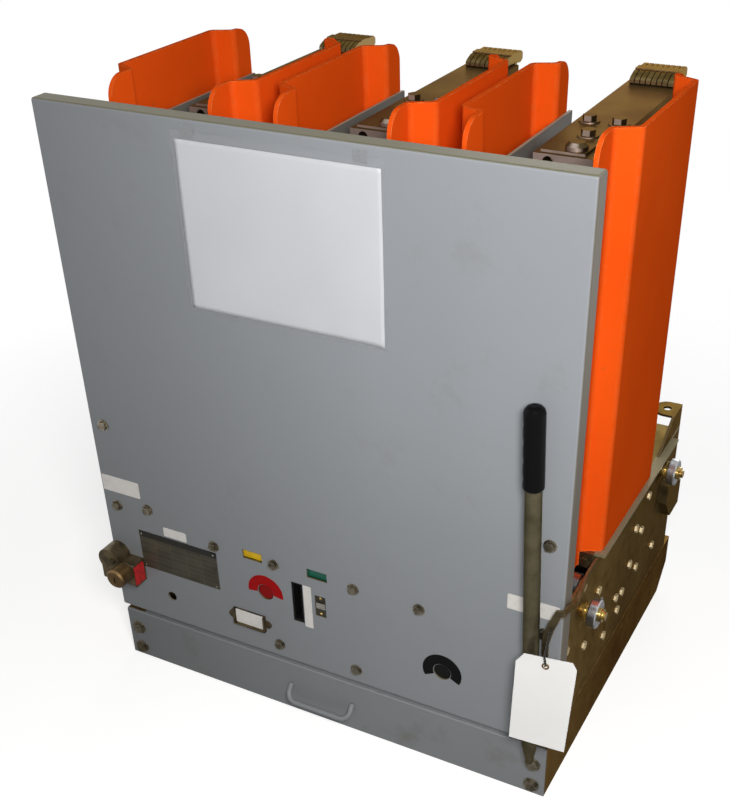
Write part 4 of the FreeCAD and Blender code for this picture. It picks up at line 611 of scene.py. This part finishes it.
def rippled(name, x0, x1, z0, z1, y, mat, lift, columns=48, rows=36):
    """A sheet that stands off the cover in slow ripples, with its lower right corner curled."""
    bm = bmesh.new()
    grid = []
    for j in range(rows + 1):
        for i in range(columns + 1):
            u, v = i / columns, j / rows
            wave = (math.sin(5.1 * u + 2.3 * v) + 0.6 * math.sin(11.3 * v - 3.7 * u + 1.0)
                    + 0.4 * math.sin(17 * u + 5 * v))
            curl = max(0.0, u - 0.9) * 10 * max(0.0, 0.35 - v) * 2.2
            stand = lift * (1.2 + 0.4 * wave) + 0.002 * curl
            grid.append(bm.verts.new((x0 + u * (x1 - x0), y - stand, z0 + v * (z1 - z0))))
    for j in range(rows):
        for i in range(columns):
            a = j * (columns + 1) + i
            bm.faces.new((grid[a], grid[a + 1], grid[a + columns + 2], grid[a + columns + 1]))
    piece = add_mesh(name, bm, mat)
    piece.data.shade_smooth()
    skin = piece.modifiers.new("thickness", "SOLIDIFY")
    skin.thickness = skin_thick


rippled("paper_sheet", left, right, low, high, y=-0.0006, mat=paper, lift=0.0003)
rippled("paper_sleeve", left - 0.004, right + 0.005, low - 0.003, high + 0.012,
        y=-0.0013, mat=sleeve, lift=0.0004)

tape_wide, tape_low, tape_high = 0.018, high + 0.004, high + 0.018
tape = finish("tape", 0.0, 0.3, (0.40, 0.42, 0.43), Alpha=0.35)
tape.surface_render_method = "BLENDED"
for name, start in (("tape_left", left + 0.012), ("tape_right", right - 0.034)):
    thin_plate(name, start, start + tape_wide, tape_low, tape_high,
               y=-0.0022, thick=0.0001, mat=tape, corner=0.0005)

# ---------------------------------------------------------------- charging handle
# A steel tube with a swaged foot and a moulded black grip, stowed in a ring that hangs from
# a bent strap on the side plate.
tube_finish = finish("brown tube", 0.85, 0.42, Specular_Tint=(0.5, 0.42, 0.28, 1))
two_tones(tube_finish, (0.075, 0.066, 0.038), (0.155, 0.135, 0.085), 30, 5, 0.6, low=0.35, high=0.7)
grain(tube_finish, 350, 0.0004)
dress(tube_finish, "charging_handle")
grip_finish = finish("black grip", 0.0, 0.22, (0.0025, 0.0025, 0.003), Specular_IOR_Level=0.07)
grain(grip_finish, 220, 0.0004, 0.15)
dress(grip_finish, "handle_grip", edge=0.0008)
dress(deck_finish, "lever_clip", edge=0.0005)

# ---------------------------------------------------------------- tie-on tag
# A blank card with clipped upper corners and a bronze eyelet. Two strands of dark wire,
# twisted together, tie it to the strap; the wire bends in front of the card.
tag_y, tag_thick, tag_bow = -0.043, 0.0006, 0.002
tag_corners = ((0.3374, 0.2915), (0.4026, 0.3000), (0.4085, 0.2897),
               (0.4009, 0.1444), (0.3221, 0.1380), (0.3264, 0.2749))
tag_card = finish("tag card", 0.0, 0.6)
two_tones(tag_card, (0.97, 0.97, 0.96), (0.92, 0.92, 0.90), 9, 4, 0.6, low=0.4, high=0.8)
card("tie_on_tag", [(x, tag_y - tag_bow * math.sin((x - 0.32) * 30), z) for x, z in tag_corners],
     tag_thick, tag_card)


def thick_line(name, kind, points, radius, mat, closed=False, resolution=4):
    """A round rod or wire along its points, of that radius."""
    curve = bpy.data.curves.new(name, "CURVE")
    curve.dimensions = "3D"
    curve.bevel_depth = radius
    curve.bevel_resolution = resolution
    spline = curve.splines.new(kind)
    spline.points.add(len(points) - 1)
    for knot, point in zip(spline.points, points):
        knot.co = (*point, 1)
    spline.use_cyclic_u = closed
    add_piece(name, curve, mat)


eyelet = Vector((0.3670, tag_y - 0.0020, 0.2815))
eyelet_radius, eyelet_rim, eyelet_knots = 0.0042, 0.0011, 12
turns = [2 * math.pi * k / eyelet_knots for k in range(eyelet_knots)]
thick_line("tag_eyelet", "NURBS", [(eyelet.x + eyelet_radius * math.cos(a), eyelet.y,
                                    eyelet.z + eyelet_radius * math.sin(a)) for a in turns],
           eyelet_rim, bronze, closed=True)

wire_radius, wire_twists, wire_steps = 0.0008, 5, 60
wire_bend = Vector((0.3655, tag_y - 0.0045, 0.2985))
wire_top = Vector((0.3600, -0.0155, 0.3175))
bend_at, loose_at = 0.4, 0.85
strand_gap, loose_gap = 0.0011, 0.002
wire_finish = finish("dark tie wire", 0.7, 0.45, (0.030, 0.028, 0.025))
grain(wire_finish, 600, 0.0002, 0.2)
for strand in (0, 1):
    points = []
    for k in range(wire_steps + 1):
        t = k / wire_steps
        angle = 2 * math.pi * wire_twists * t + math.pi * strand
        spread = strand_gap + loose_gap * max(0.0, t - loose_at) / (1 - loose_at)
        centre = (eyelet.lerp(wire_bend, t / bend_at) if t < bend_at
                  else wire_bend.lerp(wire_top, (t - bend_at) / (1 - bend_at)))
        points.append((centre.x + spread * math.cos(angle), centre.y + spread * math.sin(angle), centre.z))
    thick_line("tag_wire_%d" % strand, "POLY", points, wire_radius, wire_finish, resolution=2)

# ---------------------------------------------------------------- studio floor and air
# A pale matt floor just under the base, which fades out to clear, in a room that is white
# to look at and gives little light of its own.
floor_half, fade_start, fade_end, floor_glow = 4.0, 0.75, 1.5, 0.68
bm = bmesh.new()
bmesh.ops.create_grid(bm, x_segments=2, y_segments=2, size=floor_half)
floor_mesh = bpy.data.meshes.new("studio_floor")
bm.to_mesh(floor_mesh)
bm.free()
floor = bpy.data.objects.new("studio_floor", floor_mesh)
scene.collection.objects.link(floor)
floor.location = (0, 0.3, -0.0005)
floor_finish = bpy.data.materials.new("pale floor")
floor_finish.use_nodes = True
floor_finish.node_tree.nodes.clear()
seen_by = add_node(floor_finish, "LightPath").outputs
lift = work_out(floor_finish, "MULTIPLY", seen_by["Is Camera Ray"], floor_glow)
matt = add_node(floor_finish, "BsdfDiffuse", {"Color": (0.50, 0.50, 0.50)})
glow = add_node(floor_finish, "Emission", {"Color": (1, 1, 1), "Strength": lift})
both = add_node(floor_finish, "AddShader", {0: matt.outputs[0], 1: glow.outputs[0]})
clear = add_node(floor_finish, "BsdfTransparent")
reach = add_node(floor_finish, "VectorMath", {0: place_in(floor_finish)}, operation="LENGTH")
faded = grade(floor_finish, reach.outputs["Value"], fade_start, fade_end)
fade = add_node(floor_finish, "MixShader", {0: faded, 1: both.outputs[0], 2: clear.outputs[0]})
add_node(floor_finish, "OutputMaterial", {"Surface": fade.outputs[0]})
floor.data.materials.append(floor_finish)

room = bpy.data.worlds.new("studio")
scene.world = room
room.use_nodes = True
room.node_tree.nodes.clear()
seen_by = add_node(room, "LightPath").outputs
direct = work_out(room, "MAXIMUM", seen_by["Is Camera Ray"], seen_by["Is Transmission Ray"])
visible = work_out(room, "MAXIMUM", direct, seen_by["Is Glossy Ray"])
air = add_node(room, "Background", {"Color": (0.97, 0.98, 1.0), "Strength": 0.12})
backdrop = add_node(room, "Background", {"Color": (1, 1, 1), "Strength": 1.0})
shown = add_node(room, "MixShader", {0: visible, 1: air.outputs[0], 2: backdrop.outputs[0]})
add_node(room, "OutputWorld", {0: shown.outputs[0]})

# ---------------------------------------------------------------- lamps and camera
# Four round soft lamps: the key lamp at the front right, fill from the left and above, and
# one behind. The camera looks down from the front right corner.


def lamp(name, place, target, size, power, colour=(1, 1, 1)):
    """A round lamp of that diameter, turned towards its target."""
    data = bpy.data.lights.new(name, "AREA")
    data.shape = "DISK"
    data.size = size
    data.energy = power
    data.color = colour
    light = bpy.data.objects.new(name, data)
    scene.collection.objects.link(light)
    light.location = place
    light.rotation_mode = "QUATERNION"
    light.rotation_quaternion = (Vector(target) - Vector(place)).to_track_quat("-Z", "Y")


lamp("key lamp", (0.86, -1.10, 1.42), (0.05, 0.0, 0.50), 0.45, 28, (1.0, 0.985, 0.96))
lamp("left lamp", (-2.4, -0.9, 1.6), (0.0, 0.2, 0.5), 1.6, 3)
lamp("top lamp", (0.2, 0.5, 2.8), (0.0, 0.3, 0.5), 1.8, 5)
lamp("rear lamp", (-0.4, 2.8, 0.9), (0.0, 0.3, 0.4), 1.6, 18)

camera_data = bpy.data.cameras.new("camera")
camera = bpy.data.objects.new("camera", camera_data)
scene.collection.objects.link(camera)
camera.location = (0.741068, -1.143570, 1.289521)
camera.rotation_euler = [math.radians(angle) for angle in (55.292093, 1.203332, 27.680954)]
camera_data.sensor_width = 36.0
camera_data.lens = 53.70894
camera_data.shift_x = -0.02820125
camera_data.shift_y = 0.16307875
camera_data.clip_start = 0.05
camera_data.clip_end = 100
scene.camera = camera
scene.view_settings.view_transform = "Standard"
